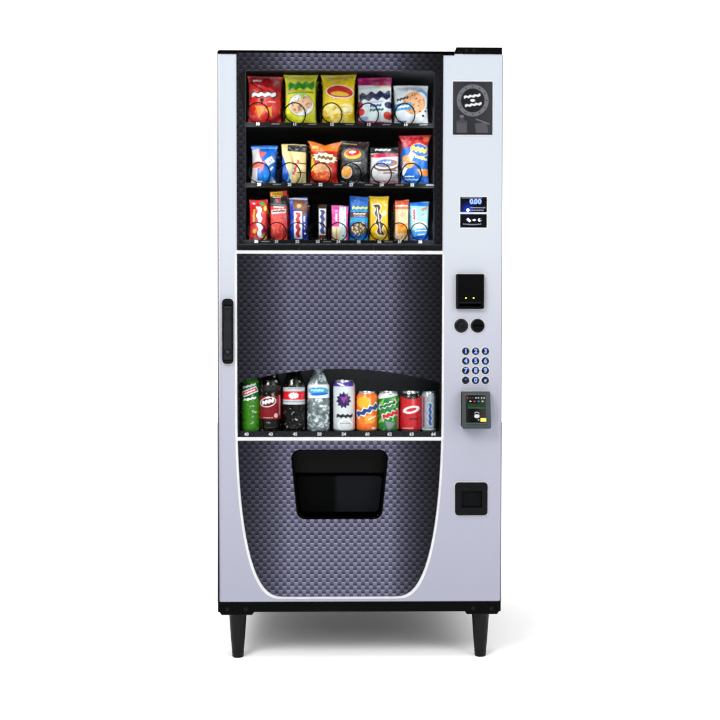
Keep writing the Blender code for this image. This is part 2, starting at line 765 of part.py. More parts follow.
def build_coin_button():
    profile = [
        (0.0, 0.0),
        (COIN_BUTTON_RADIUS - 0.002, 0.0),
        (COIN_BUTTON_RADIUS, -0.002),
        (COIN_BUTTON_RADIUS, -0.0170),
        (0.0, -0.0170),
    ]
    place = (COIN_BUTTON_X, COIN_BUTTON_FRONT, COIN_HEAD_Z)
    turned("coin_return_button", profile, place, BLACK_PLASTIC, facing="front")


def build_card_reader():
    back = DOOR_FRONT - GAP
    profile = [
        (back, 0.7033),
        (-0.458, 0.7033),
        (-0.465, 0.7090),
        (-0.463, 0.7330),
        (-0.444, 0.8060),
        (-0.438, 0.8108),
        (back, 0.8108),
    ]
    reader = plate("card_reader", [profile], "YZ", 0.3035, 0.3870, READER_GREY)
    bevel = reader.modifiers.new("rounded_edges", "BEVEL")
    bevel.width = 0.003
    bevel.segments = 2
    bevel.limit_method = "ANGLE"
    bevel.angle_limit = math.radians(40)


def build_coin_cup():
    cup = block(
        "coin_cup",
        (0.2856, DOOR_FRONT - 0.0045, 0.4387),
        (0.3840, DOOR_FRONT - GAP, 0.5382),
        BLACK_PLASTIC,
        radius=0.010,
        along="Y",
    )
    join(cup, block("cup_body", (0.2995, DOOR_FRONT - 0.001, 0.4540), (0.3720, -0.348, 0.5230)))
    cut(cup, block("cup_hollow", (0.3048, -0.43, 0.4622), (0.3668, -0.352, 0.5118)))
    axis_y = DOOR_FRONT + 0.008
    axis_z = 0.5090
    thickness = 0.003
    profile = arc((axis_y, axis_z), thickness / 2, 180, 0, 4)
    profile += [(axis_y + thickness / 2, 0.4638), (axis_y - thickness / 2, 0.4638)]
    flap = plate("coin_cup_flap", [profile], "YZ", 0.3058, 0.3658, BLACK_PLASTIC)
    set_origin(flap, ((0.3058 + 0.3658) / 2, axis_y, axis_z))


def build_keys():
    profile = [
        (0.0, KEY_PROUD),
        (KEY_RADIUS - 0.0012, KEY_PROUD),
        (KEY_RADIUS, KEY_PROUD - 0.0012),
        (KEY_RADIUS, -KEY_BACK),
        (0.0, -KEY_BACK),
    ]
    for names, row in zip(KEY_NAMES, KEY_ROWS):
        for name, column in zip(names, KEY_COLUMNS):
            turned(name, profile, (column, DOOR_FRONT, row), NAVY_KEY, facing="front", steps=12)


def main():
    build_cabinet()
    build_base()
    build_legs()
    build_top_hinge()
    build_refrigeration()
    build_delivery_bin()
    for name in TRAYS:
        build_tray(name)
    build_drink_rack()
    build_door_frame()
    build_front_panel()
    build_panes()
    build_display_shelf()
    build_delivery_flap()
    build_handle()
    build_selection_display()
    build_bill_validator()
    build_coin_mechanism()
    build_coin_button()
    build_card_reader()
    build_coin_cup()
    build_keys()


clear_scene()
MACHINE = new_collection("snack_vending_machine")
TOOLS = new_collection("cutters")
main()
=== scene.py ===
"""Looks of the snack vending machine: finishes, small fittings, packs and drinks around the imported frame."""
import json
import math
import random

import bmesh
import bpy
from mathutils import Matrix, Vector, noise

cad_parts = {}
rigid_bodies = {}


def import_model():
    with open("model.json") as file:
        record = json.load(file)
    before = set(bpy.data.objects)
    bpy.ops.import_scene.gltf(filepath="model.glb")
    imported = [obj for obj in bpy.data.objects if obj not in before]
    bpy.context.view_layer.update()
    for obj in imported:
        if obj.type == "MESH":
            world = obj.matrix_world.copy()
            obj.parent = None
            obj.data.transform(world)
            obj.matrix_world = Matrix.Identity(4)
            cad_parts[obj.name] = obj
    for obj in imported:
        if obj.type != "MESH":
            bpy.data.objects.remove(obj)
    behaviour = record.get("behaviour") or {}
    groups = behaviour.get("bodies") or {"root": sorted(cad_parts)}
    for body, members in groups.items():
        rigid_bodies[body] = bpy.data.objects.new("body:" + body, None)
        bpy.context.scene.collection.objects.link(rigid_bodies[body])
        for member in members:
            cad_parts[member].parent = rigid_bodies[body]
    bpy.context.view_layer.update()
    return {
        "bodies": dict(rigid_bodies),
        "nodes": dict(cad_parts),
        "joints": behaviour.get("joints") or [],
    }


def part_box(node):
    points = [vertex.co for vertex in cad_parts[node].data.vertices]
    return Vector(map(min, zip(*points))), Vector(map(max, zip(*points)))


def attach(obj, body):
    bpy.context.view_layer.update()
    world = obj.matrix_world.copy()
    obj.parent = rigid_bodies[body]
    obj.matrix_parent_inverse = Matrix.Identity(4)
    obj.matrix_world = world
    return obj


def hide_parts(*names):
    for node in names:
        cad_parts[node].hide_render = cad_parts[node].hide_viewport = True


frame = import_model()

NODES = frame["nodes"]
AXIS = {joint["child"]: Vector(joint["pos_m"]) for joint in frame["joints"] if "pos_m" in joint}

DOOR_LOW, DOOR_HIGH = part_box("door_frame")
FACE = DOOR_LOW.y                       # the front of the door's steel skin
PANEL_LOW, PANEL_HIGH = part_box("front_panel")
PANEL_X = (PANEL_LOW.x + PANEL_HIGH.x) / 2
PRINT = PANEL_LOW.y                     # the front of the printed panel
GLASS_LOW, GLASS_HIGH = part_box("window_glass")
GLASS_LAP = 0.009
WINDOW_LEFT = GLASS_LOW.x + GLASS_LAP
WINDOW_RIGHT = GLASS_HIGH.x - GLASS_LAP
WINDOW_BOTTOM = GLASS_LOW.z + GLASS_LAP
WINDOW_TOP = GLASS_HIGH.z - GLASS_LAP
SHELF_FLOOR = 0.6860
CABINET_LOW, CABINET_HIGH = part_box("insulated_cabinet")

# tray: first selection number, coil count, coil radius, wire radius
TRAYS = {1: (10, 5, 0.0318, 0.0021), 2: (20, 6, 0.0318, 0.0021), 3: (30, 9, 0.0272, 0.0018)}
COIL_TURNS = 6
COIL_FRONT_PITCH = 0.024
COIL_STUB = 0.020
COIL_FRONT = 0.012
HUB = [(0.0, 0.014), (0.0048, 0.014), (0.0062, 0.012), (0.0062, 0.004), (0.0098, 0.003), (0.0098, 0.0004)]
HUB.append((0.0, 0.0004))
SEAL = 0.0075                           # the crimped end of a snack bag
CHUTE_LOW, CHUTE_HIGH = 0.4307, 0.6367
CHUTE_TOP_HALF, CHUTE_BOTTOM_HALF = 0.142, 0.1208
WINDOW_BAR = (1.2224, 1.2322)           # foot and top of the white line under the window
DISPLAY_BAR = (0.6641, 0.6743)          # the same under the display
SCREENS_X = (0.2988, 0.3787)
SCREENS_Z = ((1.3483, 1.3937), (1.3021, 1.3427))
PRICE_Z = 1.3795
COIN_HEADS_X, COIN_HEADS_Z = (0.303, 0.3522), 1.0088
LOCK_Z = 0.9290


def tint(code):
    """A screen colour, such as #ff8800, as the linear colour that a shader takes."""
    linear = []
    for start in (1, 3, 5):
        channel = int(code[start:start + 2], 16) / 255
        linear.append(channel / 12.92 if channel <= 0.04 else ((channel + 0.055) / 1.055) ** 2.4)
    return tuple(linear)


def scaled(code, factor):
    """A screen colour's linear colour, made darker or lighter."""
    return tuple(channel * factor for channel in tint(code))


WHITE = "#f0f3f7"
BLACK = "#0e0e10"
RED = "#ce181c"
DARK_RED = "#780e16"
ORANGE = "#f4821c"
BROWN = "#703e22"
GREEN = "#369428"
SKY = "#78c8f0"


# ---- materials ------------------------------------------------------------
class Look:
    """A procedural material; each method adds nodes to it and returns what they put out."""

    def __init__(self, name, colour, roughness=0.5, metallic=0.0, specular=0.5):
        self.material = bpy.data.materials.new(name)
        self.material.use_nodes = True
        self.tree = self.material.node_tree
        self.shader = self.tree.nodes["Principled BSDF"]
        self.place = self.tree.nodes.new("ShaderNodeTexCoord").outputs["Object"]
        self.relief = None
        self.set("Base Color", colour)
        self.set("Roughness", roughness)
        self.set("Metallic", metallic)
        self.set("Specular IOR Level", specular)

    def put(self, socket, value):
        if isinstance(value, bpy.types.NodeSocket):
            self.tree.links.new(value, socket)
        elif isinstance(value, str):
            socket.default_value = (*tint(value), 1.0)
        elif socket.type == "RGBA":
            socket.default_value = (*value, 1.0)
        else:
            socket.default_value = value

    def set(self, name, value):
        self.put(self.shader.inputs[name], value)

    def node(self, kind, inputs, output=0, **settings):
        item = self.tree.nodes.new("ShaderNode" + kind)
        for key, value in settings.items():
            setattr(item, key, value)
        for key, value in inputs.items():
            self.put(item.inputs[key], value)
        return item.outputs[output]

    def math(self, operation, first, second=0.0, third=0.0):
        return self.node("Math", {0: first, 1: second, 2: third}, operation=operation)

    def blend(self, factor, first, second, how="MIX"):
        inputs = {0: factor, 6: first, 7: second}
        return self.node("Mix", inputs, output=2, data_type="RGBA", blend_type=how)

    def span(self, value, low, high, to_low=0.0, to_high=1.0):
        return self.node("MapRange", {0: value, 1: low, 2: high, 3: to_low, 4: to_high})

    def mapped(self, place, location=(0, 0, 0), turn=(0, 0, 0), size=(1, 1, 1)):
        inputs = {0: place, 1: location, 2: turn, 3: size}
        return self.node("Mapping", inputs, vector_type="TEXTURE")

    def axes(self, place=None):
        """The three coordinates of a place, X first."""
        first = self.node("SeparateXYZ", {0: place or self.place})
        return list(first.node.outputs)

    def noise(self, scale, detail=3.0, stretch=(1, 1, 1)):
        spot = self.mapped(self.place, size=stretch)
        return self.node("TexNoise", {"Vector": spot, "Scale": scale, "Detail": detail})

    def cells(self, scale, place=None):
        """How far each spot is from the nearest edge between cells."""
        inputs = {"Vector": place or self.place, "Scale": scale}
        return self.node("TexVoronoi", inputs, feature="DISTANCE_TO_EDGE")

    def bump(self, height, depth):
        """Adds relief of that depth, in metres, over any that is already there."""
        inputs = {"Height": height, "Distance": depth, "Strength": 1.0}
        if self.relief is not None:
            inputs["Normal"] = self.relief
        self.relief = self.node("Bump", inputs)
        self.set("Normal", self.relief)

    def within(self, low, high):
        """1 inside a box, whose corners may leave an axis open with None, and 0 outside it."""
        inside = 1.0
        for value, least, most in zip(self.axes(), low, high):
            if least is not None:
                inside = self.math("MULTIPLY", inside, self.math("GREATER_THAN", value, least))
            if most is not None:
                inside = self.math("MULTIPLY", inside, self.math("LESS_THAN", value, most))
        return inside

    def begin_print(self, centre, base, half, height, colour):
        """Starts a print on a front face, with shapes placed in half widths and as a share of the height."""
        self.sheet = self.mapped(self.place, (centre, 0, base), size=(half, 1, half))
        self.tall = height / half
        self.ink = colour

    def shape(self, kind, across, up, width, height, colour, turn=0.0):
        """Prints one shape in a colour over what is there."""
        place = (across, 0, up * self.tall)
        spot = self.mapped(self.sheet, place, (0, math.radians(turn), 0), (width, 1e6, height))
        self.ink = self.blend(self.inside(kind, spot), self.ink, colour)

    def inside(self, kind, spot):
        reach = self.node("VectorMath", {0: spot}, output=1, operation="LENGTH")
        if kind in ("box", "drop", "burst", "wave"):
            across, _, up = self.axes(spot)
            side = self.math("ABSOLUTE", across)
        if kind == "box":
            reach = self.math("MAXIMUM", side, self.math("ABSOLUTE", up))
        elif kind == "drop":
            lean = self.math("SUBTRACT", self.math("MULTIPLY", side, 2.0), up)
            reach = self.math("MAXIMUM", lean, up)
        elif kind == "wave":
            upper = self.math("GREATER_THAN", up, 0.0)
            phase = self.math("MULTIPLY_ADD", upper, 4.0, self.math("MULTIPLY", across, 11.0))
            swell = self.math("MULTIPLY_ADD", self.math("SINE", phase), 0.28, 0.72)
            reach = self.math("MAXIMUM", side, self.math("DIVIDE", self.math("ABSOLUTE", up), swell))
        elif kind == "burst":
            angle = self.math("ARCTAN2", up, across)
            wave = self.math("SINE", self.math("MULTIPLY", angle, 11.0))
            reach = self.math("MULTIPLY", reach, self.math("MULTIPLY_ADD", wave, 0.12, 1.0))
        if kind == "ring":
            return self.math("COMPARE", reach, 0.88, 0.12)
        mask = self.math("LESS_THAN", reach, 1.0)
        if kind == "grains":
            chips = self.node("TexNoise", {"Vector": spot, "Scale": 3.2, "Detail": 1.0})
            mask = self.math("MULTIPLY", mask, self.math("GREATER_THAN", chips, 0.57))
        return mask

    def end_print(self):
        self.set("Base Color", self.ink)


def moulded(name, colour, roughness=0.45, grain=900.0, depth=0.00012, specular=0.08):
    """Injection-moulded plastic: an even, fine grain and a faint cloudiness in its gloss."""
    look = Look(name, colour, roughness, specular=specular)
    cloud = look.noise(28.0, 2.0)
    look.set("Roughness", look.span(cloud, 0.3, 0.7, roughness - 0.06, roughness + 0.08))
    look.set("Base Color", look.blend(cloud, scaled(colour, 0.82), scaled(colour, 1.2)))
    look.bump(look.noise(grain, 1.0), depth)
    return look


def powder_coat(name, colour, roughness=0.42, peel=520.0, depth=0.00018, specular=0.08):
    """Stoved powder paint: orange peel and slight unevenness."""
    look = Look(name, colour, roughness, specular=specular)
    patch = look.noise(6.0, 4.0)
    look.set("Roughness", look.span(patch, 0.25, 0.75, roughness - 0.07, roughness + 0.1))
    look.set("Base Color", look.blend(patch, scaled(colour, 0.85), scaled(colour, 1.25)))
    look.bump(look.noise(peel, 2.0), depth)
    return look


def bare_metal(name, colour, roughness=0.35):
    """Uncoated metal whose sheen varies finely."""
    look = Look(name, colour, roughness, metallic=1.0)
    cloud = look.noise(420.0)
    look.set("Roughness", look.span(cloud, 0.3, 0.7, roughness - 0.08, roughness + 0.12))
    look.set("Base Color", look.blend(cloud, scaled(colour, 0.8), colour))
    look.bump(cloud, 0.00005)
    return look


def lit_look(name, colour, strength):
    """A lit symbol or lamp: an even glow, slightly uneven as a diffuser is."""
    look = Look(name, colour, 0.4)
    look.set("Emission Color", colour)
    glow = look.noise(600.0, 1.0)
    look.set("Emission Strength", look.span(glow, 0.2, 0.8, strength * 0.9, strength * 1.1))
    return look


def cabinet_look():
    """Black powder coat outside, and a dark grey liner round the product cavity, with a painted pool of light
    on its upper right.
    """
    look = powder_coat("cabinet_coat", "#0f0f11", specular=0.2)
    liner = look.within((-0.3875, None, 0.404), (0.2395, 0.4055, 1.8025))
    # painted light: the liner turns lighter grey towards its upper right, where the studio light falls on the
    # back wall
    across, _, up = look.axes()
    lit = look.math("MULTIPLY", look.span(across, -0.05, 0.20), look.span(up, 1.50, 1.75))
    inner = look.blend(lit, "#161618", "#505258")
    look.set("Base Color", look.blend(liner, "#111113", inner))
    return look


def door_look():
    """Pale satin lavender-silver paint, its colour cooler and darker towards the foot, and bare dark steel
    inside, where painted shade makes the left half darker than the right.
    """
    look = Look("door_silver", "#dce2ec", 0.4, specular=0.2)
    _, _, height = look.axes()
    lower = look.blend(look.span(height, 0.2, 0.85), "#c1c3d5", "#ced0e0")
    middle = look.blend(look.span(height, 0.85, 1.25), lower, "#e2e8f0")
    paint = look.blend(look.span(height, 1.35, 1.8), middle, "#dbe3ed")
    flake = look.noise(1500.0, 1.0)
    paint = look.blend(look.span(flake, 0.3, 0.7, 0.0, 0.06), paint, "#a0a5b9")
    side = DOOR_HIGH.x - 0.0034
    hidden = look.within((-side, FACE + 0.0004, DOOR_LOW.z + 0.0034), (side, None, DOOR_HIGH.z - 0.0034))
    frame_low = (PANEL_LOW.x + 0.003, None, 0.66)
    frame_high = (PANEL_HIGH.x - 0.003, None, WINDOW_TOP + 0.02)
    dark = look.math("MAXIMUM", hidden, look.within(frame_low, frame_high))
    chute_low = (PANEL_X - 0.16, FACE + 0.0004, 0.40)
    chute = look.within(chute_low, (PANEL_X + 0.16, None, 0.66))
    across = look.axes()[0]
    # painted shade: inside the door and round the window the left half is painted darker than the right, as
    # the light falls
    reveal_painted_shade = look.blend(look.math("LESS_THAN", across, PANEL_X), "#141517", "#060608")
    inner = look.blend(chute, reveal_painted_shade, "#030304")
    look.set("Base Color", look.blend(dark, paint, inner))
    look.bump(look.noise(340.0, 2.0), 0.00006)
    return look


def panel_look():
    """A two-tone check print, each check shaded from its top to its foot like a woven strap, under painted
    shade that darkens the sides (the right more than the left) and the top, and lightens the foot.
    """
    look = Look("check_print", "#46465a", 0.4, specular=0.15)
    cell = 0.01178
    spot = look.mapped(look.place, (PANEL_X + cell / 2, 0, 0.003), size=(cell, 1, cell))
    across, _, up = look.axes(spot)
    column = look.math("FLOOR", across)
    row = look.math("FLOOR", up)
    odd = look.math("FLOORED_MODULO", look.math("ADD", column, row), 2.0)
    rise = look.math("FRACT", up)
    body = look.blend(look.span(rise, 0.0, 0.7), "#626278", "#707086")
    light = look.blend(look.span(rise, 0.66, 0.95), body, "#9897b4")
    deep = look.blend(look.span(rise, 0.08, 0.55), "#18182a", "#4a4a5c")
    thread = look.noise(900.0, 1.0)
    weave = look.blend(odd, deep, light)
    weave = look.blend(look.span(thread, 0.3, 0.7, 0.0, 0.12), weave, "#3c3c50")
    # painted shade and light: the print is darkened towards the sides and the top, and lightened towards the
    # foot
    x, _, z = look.axes()
    side = look.math("SUBTRACT", x, PANEL_X)
    reach = look.math("MAXIMUM", look.math("SUBTRACT", look.math("ABSOLUTE", side), 0.152), 0.0)
    fall = look.math("MULTIPLY_ADD", look.math("SIGN", side), -3.2, -16.6)
    painted_shading = look.math("EXPONENT", look.math("MULTIPLY", reach, fall))
    painted_shading = look.math("MULTIPLY", painted_shading, look.span(z, 0.35, 0.80, 1.48, 1.0))
    painted_shading = look.math("MULTIPLY", painted_shading, look.span(z, 1.20, 1.80, 1.0, 0.80))
    shade = look.node("CombineXYZ", {0: painted_shading, 1: painted_shading, 2: painted_shading})
    look.set("Base Color", look.blend(1.0, weave, shade, "MULTIPLY"))
    look.bump(rise, 0.0001)
    return look


def glass_look(name, reflection=0.25):
    """A clear pane: it lets light through and keeps a weak reflection that grows at grazing angles."""
    look = Look(name, (1.0, 1.0, 1.0))
    nodes = look.tree.nodes
    nodes.remove(look.shader)
    through = look.node("BsdfTransparent", {0: (0.97, 0.985, 0.98)})
    shine = look.node("BsdfGlossy", {"Color": (1.0, 1.0, 1.0), "Roughness": 0.02})
    fresnel = look.node("Fresnel", {"IOR": 1.45})
    smear = look.span(look.noise(5.0, 3.0), 0.3, 0.8, 0.7, 1.2)
    amount = look.math("MULTIPLY", look.math("MULTIPLY", fresnel, reflection), smear)
    mix = look.node("MixShader", {0: amount, 1: through, 2: shine})
    look.put(nodes["Material Output"].inputs["Surface"], mix)
    return look


def leather_grain(name, colour, roughness):
    """Moulded plastic with a pebbled grain, as on the delivery flap."""
    look = Look(name, colour, roughness, specular=0.06)
    pebble = look.cells(420.0)
    look.bump(look.span(pebble, 0.0, 0.12), 0.0004)
    look.set("Roughness", look.span(look.noise(60.0, 2.0), 0.3, 0.7, roughness - 0.08, roughness + 0.12))
    return look


# ---- meshes ---------------------------------------------------------------
def smooth(mesh, angle=35):
    mesh.shade_smooth()
    mesh.set_sharp_from_angle(angle=math.radians(angle))
    return mesh


def mesh_of(shape, angle=35):
    """Closes a bmesh into a mesh with its faces pointing out and its shallow edges shaded smooth."""
    bmesh.ops.recalc_face_normals(shape, faces=shape.faces)
    mesh = bpy.data.meshes.new("piece")
    shape.to_mesh(mesh)
    shape.free()
    return smooth(mesh, angle)


def piece(name, data, look, body, slot, *nodes):
    """Puts a mesh or curve in the scene, on a body, with its finish and any CAD nodes that it stands for."""
    data.name = name
    item = bpy.data.objects.new(name, data)
    bpy.context.scene.collection.objects.link(item)
    data.materials.append(look.material)
    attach(item, body)
    if nodes:
        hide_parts(*nodes)
    return item


def finish_node(look, *names):
    """Gives CAD nodes a finish."""
    for name in names:
        NODES[name].material_slots[0].material = look.material


def lathe(shape, profile, centre, facing="up", steps=40):
    """Turns (radius, height) points about Z, or about -Y when facing front, at a centre."""
    centre = Vector(centre)
    rings = []
    for radius, height in profile:
        ring = []
        for index in range(1 if radius == 0 else steps):
            angle = 2 * math.pi * index / steps
            across = radius * math.cos(angle)
            along = radius * math.sin(angle)
            spot = Vector((across, along, height)) if facing == "up" else Vector((across, -height, along))
            ring.append(shape.verts.new(centre + spot))
        rings.append(ring)
    for first, second in zip(rings, rings[1:]):
        for index in range(steps):
            after = (index + 1) % steps
            corners = [first[index % len(first)], first[after % len(first)]]
            corners += [second[after % len(second)], second[index % len(second)]]
            unique = list(dict.fromkeys(corners))
            if len(unique) > 2:
                shape.faces.new(unique)


def add_box(shape, low, high, radius=0.0, segments=2):
    """Adds a box from corner to corner, with its edges rounded."""
    low = Vector(low)
    high = Vector(high)
    made = bmesh.ops.create_cube(shape, size=1.0)["verts"]
    bmesh.ops.scale(shape, vec=high - low, verts=made)
    bmesh.ops.translate(shape, vec=(high + low) / 2, verts=made)
    if radius:
        edges = list({edge for vert in made for edge in vert.link_edges})
        bmesh.ops.bevel(shape, geom=edges, offset=radius, segments=segments, profile=0.5, affect="EDGES")


def boxes(corners, radius=0.0006):
    """One mesh of boxes, each given by its two corners."""
    shape = bmesh.new()
    for low, high in corners:
        add_box(shape, low, high, radius)
    return mesh_of(shape)


def merged(meshes):
    """Several meshes as one."""
    shape = bmesh.new()
    for mesh in meshes:
        shape.from_mesh(mesh)
        bpy.data.meshes.remove(mesh)
    return mesh_of(shape)


def evaluated(data):
    """The mesh that a curve or text makes, with the curve removed."""
    item = bpy.data.objects.new("guide", data)
    bpy.context.scene.collection.objects.link(item)
    bpy.context.view_layer.update()
    graph = bpy.context.evaluated_depsgraph_get()
    mesh = bpy.data.meshes.new_from_object(item.evaluated_get(graph))
    bpy.data.objects.remove(item, do_unlink=True)
    bpy.data.curves.remove(data)
    mesh.materials.clear()
    return mesh


FRONTWARD = Matrix.Rotation(math.pi / 2, 4, "X")


def plate(outlines, front, back, edge=0.0):
    """Outlines in X and Z, with any holes, as a plate from front to back with slightly rounded edges."""
    curve = bpy.data.curves.new("outline", "CURVE")
    curve.dimensions = "2D"
    curve.fill_mode = "BOTH"
    curve.extrude = (back - front) / 2 - edge
    curve.bevel_depth = edge
    curve.bevel_resolution = 1
    curve.offset = -edge
    for outline in outlines:
        spline = curve.splines.new("POLY")
        spline.points.add(len(outline) - 1)
        for point, (across, up) in zip(spline.points, outline):
            point.co = (across, up, 0.0, 1.0)
        spline.use_cyclic_u = True
    mesh = evaluated(curve)
    mesh.transform(Matrix.Translation((0, (front + back) / 2, 0)) @ FRONTWARD)
    shape = bmesh.new()
    shape.from_mesh(mesh)
    bpy.data.meshes.remove(mesh)
    bmesh.ops.remove_doubles(shape, verts=shape.verts, dist=0.00002)
    return mesh_of(shape)


def tube(points, radius, closed=False):
    """A round wire along a route."""
    curve = bpy.data.curves.new("route", "CURVE")
    curve.dimensions = "3D"
    curve.bevel_depth = radius
    curve.bevel_resolution = 3
    curve.use_fill_caps = True
    spline = curve.splines.new("POLY")
    spline.points.add(len(points) - 1)
    for point, spot in zip(spline.points, points):
        point.co = (*spot, 1.0)
    spline.use_cyclic_u = closed
    return smooth(evaluated(curve), 60)


def lettering(entries, front, depth=0.0003, weight=0.0):
    """Numbers as raised print: entries are (text, x, z, height), each centred on its place."""
    meshes = []
    for text, across, up, size in entries:
        curve = bpy.data.curves.new("text", "FONT")
        curve.body = text
        curve.size = size * 1.42
        curve.align_x = "CENTER"
        curve.align_y = "CENTER"
        curve.extrude = depth / 2
        curve.offset = weight
        curve.resolution_u = 4
        mesh = evaluated(curve)
        mesh.transform(Matrix.Translation((across, front - depth / 2, up)) @ FRONTWARD)
        meshes.append(mesh)
    return merged(meshes)


def circle(centre, radius, count=40):
    turns = [2 * math.pi * index / count for index in range(count)]
    return [(centre[0] + radius * math.cos(turn), centre[1] + radius * math.sin(turn)) for turn in turns]


def rounded(low, high, radius, count=5):
    """A rectangle from corner to corner with its corners rounded."""
    points = []
    corners = ((high[0], low[1], -90), (high[0], high[1], 0), (low[0], high[1], 90), (low[0], low[1], 180))
    for across, up, start in corners:
        centre_x = across - radius if across == high[0] else across + radius
        centre_z = up - radius if up == high[1] else up + radius
        for index in range(count + 1):
            angle = math.radians(start + 90 * index / count)
            points.append((centre_x + radius * math.cos(angle), centre_z + radius * math.sin(angle)))
    return points


def softened(corners, radius):
    """A closed outline whose corners are rounded by arcs."""
    points = []
    for index, corner in enumerate(corners):
        here = Vector(corner)
        before = (Vector(corners[index - 1]) - here).normalized()
        after = (Vector(corners[(index + 1) % len(corners)]) - here).normalized()
        half = before.angle(after) / 2
        centre = here + (before + after).normalized() * (radius / math.sin(half))
        start = (here + before * (radius / math.tan(half)) - centre).normalized()
        end = (here + after * (radius / math.tan(half)) - centre).normalized()
        for step in range(7):
            spot = centre + start.slerp(end, step / 6).normalized() * radius
            points.append((spot.x, spot.y))
    return points


def upright(profile, low, high):
    """A bar with a given plan, standing from one height to another."""
    shape = bmesh.new()
    rings = [[shape.verts.new((x, y, z)) for x, y in profile] for z in (low, high)]
    shape.faces.new(rings[0])
    shape.faces.new(rings[1][::-1])
    for index in range(len(profile)):
        shape.faces.new((rings[0][index - 1], rings[0][index], rings[1][index], rings[1][index - 1]))
    bmesh.ops.recalc_face_normals(shape, faces=shape.faces[:])
    return mesh_of(shape, 30)


def grown(low, high, amount):
    """A rectangle's corners, moved out on every side, or in where the amount is negative."""
    return (low[0] - amount, low[1] - amount), (high[0] + amount, high[1] + amount)


# ---- cabinet, base and what stands inside ----------------------------------
def finish_cabinet():
    """Finishes of the standing parts, and turned legs in place of the CAD's coarser ones."""
    finish_node(cabinet_look(), "insulated_cabinet")
    satin = powder_coat("satin_black", "#050607", 0.38)
    finish_node(satin, "base_frame", "top_hinge_bracket")
    finish_node(powder_coat("galvanised", "#808388", 0.4), "refrigeration_unit")
    finish_node(moulded("bin_black", "#040405", 0.55, specular=0.03), "delivery_bin")
    finish_node(powder_coat("rack_coat", "#101012", 0.45), "drink_rack")
    leg = powder_coat("leg_enamel", "#121315", 0.3, peel=300.0, specular=0.3)
    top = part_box("leg_front_left")[1].z
    profile = [(0.0, top), (0.0284, top), (0.0290, top - 0.0006), (0.0290, top - 0.006)]
    profile += [(0.0262, top - 0.0085), (0.0253, top - 0.012), (0.0232, 0.095), (0.0209, 0.060)]
    profile += [(0.0183, 0.030), (0.0170, 0.018), (0.0176, 0.0165), (0.0176, 0.0135), (0.0168, 0.012)]
    profile += [(0.0168, 0.004), (0.0150, 0.0008), (0.0, 0.0)]
    for name in ("leg_front_left", "leg_front_right", "leg_rear_left", "leg_rear_right"):
        low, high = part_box(name)
        shape = bmesh.new()
        lathe(shape, profile, ((low.x + high.x) / 2, (low.y + high.y) / 2, 0.0), steps=48)
        piece(name.replace("leg", "tapered_leg"), mesh_of(shape), leg, "root", "leg_paint", name)


def bolt_head(shape, centre, radius, height, facing):
    """A hexagon head on its washer."""
    washer = [(0.0, height * 0.25), (radius * 1.5, height * 0.25), (radius * 1.5, 0.0), (0.0, 0.0)]
    lathe(shape, washer, centre, facing, 28)
    head = [(0.0, height), (radius * 0.86, height), (radius, height * 0.86), (radius, height * 0.25)]
    head += [(0.0, height * 0.25)]
    lathe(shape, head, centre, facing, 6)


def add_fasteners():
    """Bolts of the top hinge bracket and the leg plates, and the screws at the back."""
    zinc = bare_metal("zinc_plate", "#787a7e", 0.4)
    dark = powder_coat("blacked_bolt", "#222224", 0.35)
    bracket_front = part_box("top_hinge_bracket")[0].y
    shape = bmesh.new()
    for across in (0.316, 0.338):
        bolt_head(shape, (across, bracket_front, 1.8285), 0.0034, 0.0035, "front")
    piece("top_hinge_bolts", mesh_of(shape, 25), dark, "root", "fastener_steel")
    base_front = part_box("base_frame")[0].y
    shape = bmesh.new()
    for sign in (-1, 1):
        for across in (0.342, 0.398):
            bolt_head(shape, (sign * across, base_front, 0.1555), 0.0042, 0.004, "front")
    piece("leg_plate_bolts", mesh_of(shape, 25), dark, "root", "fastener_steel")
    rear = CABINET_HIGH.y
    shape = bmesh.new()
    for across in (-0.345, -0.04, 0.265):
        for up in (0.200, 0.380):
            lathe(shape, [(0.0, -0.0022), (0.0040, -0.0016), (0.0052, 0.0)], (across, rear, up), "front", 20)
    for across in (-0.405, 0.0, 0.405):
        for up in (0.50, 0.95, 1.40, 1.80):
            lathe(shape, [(0.0, -0.0020), (0.0036, -0.0015), (0.0046, 0.0)], (across, rear, up), "front", 20)
    piece("rear_screws", mesh_of(shape), zinc, "root", "fastener_steel")


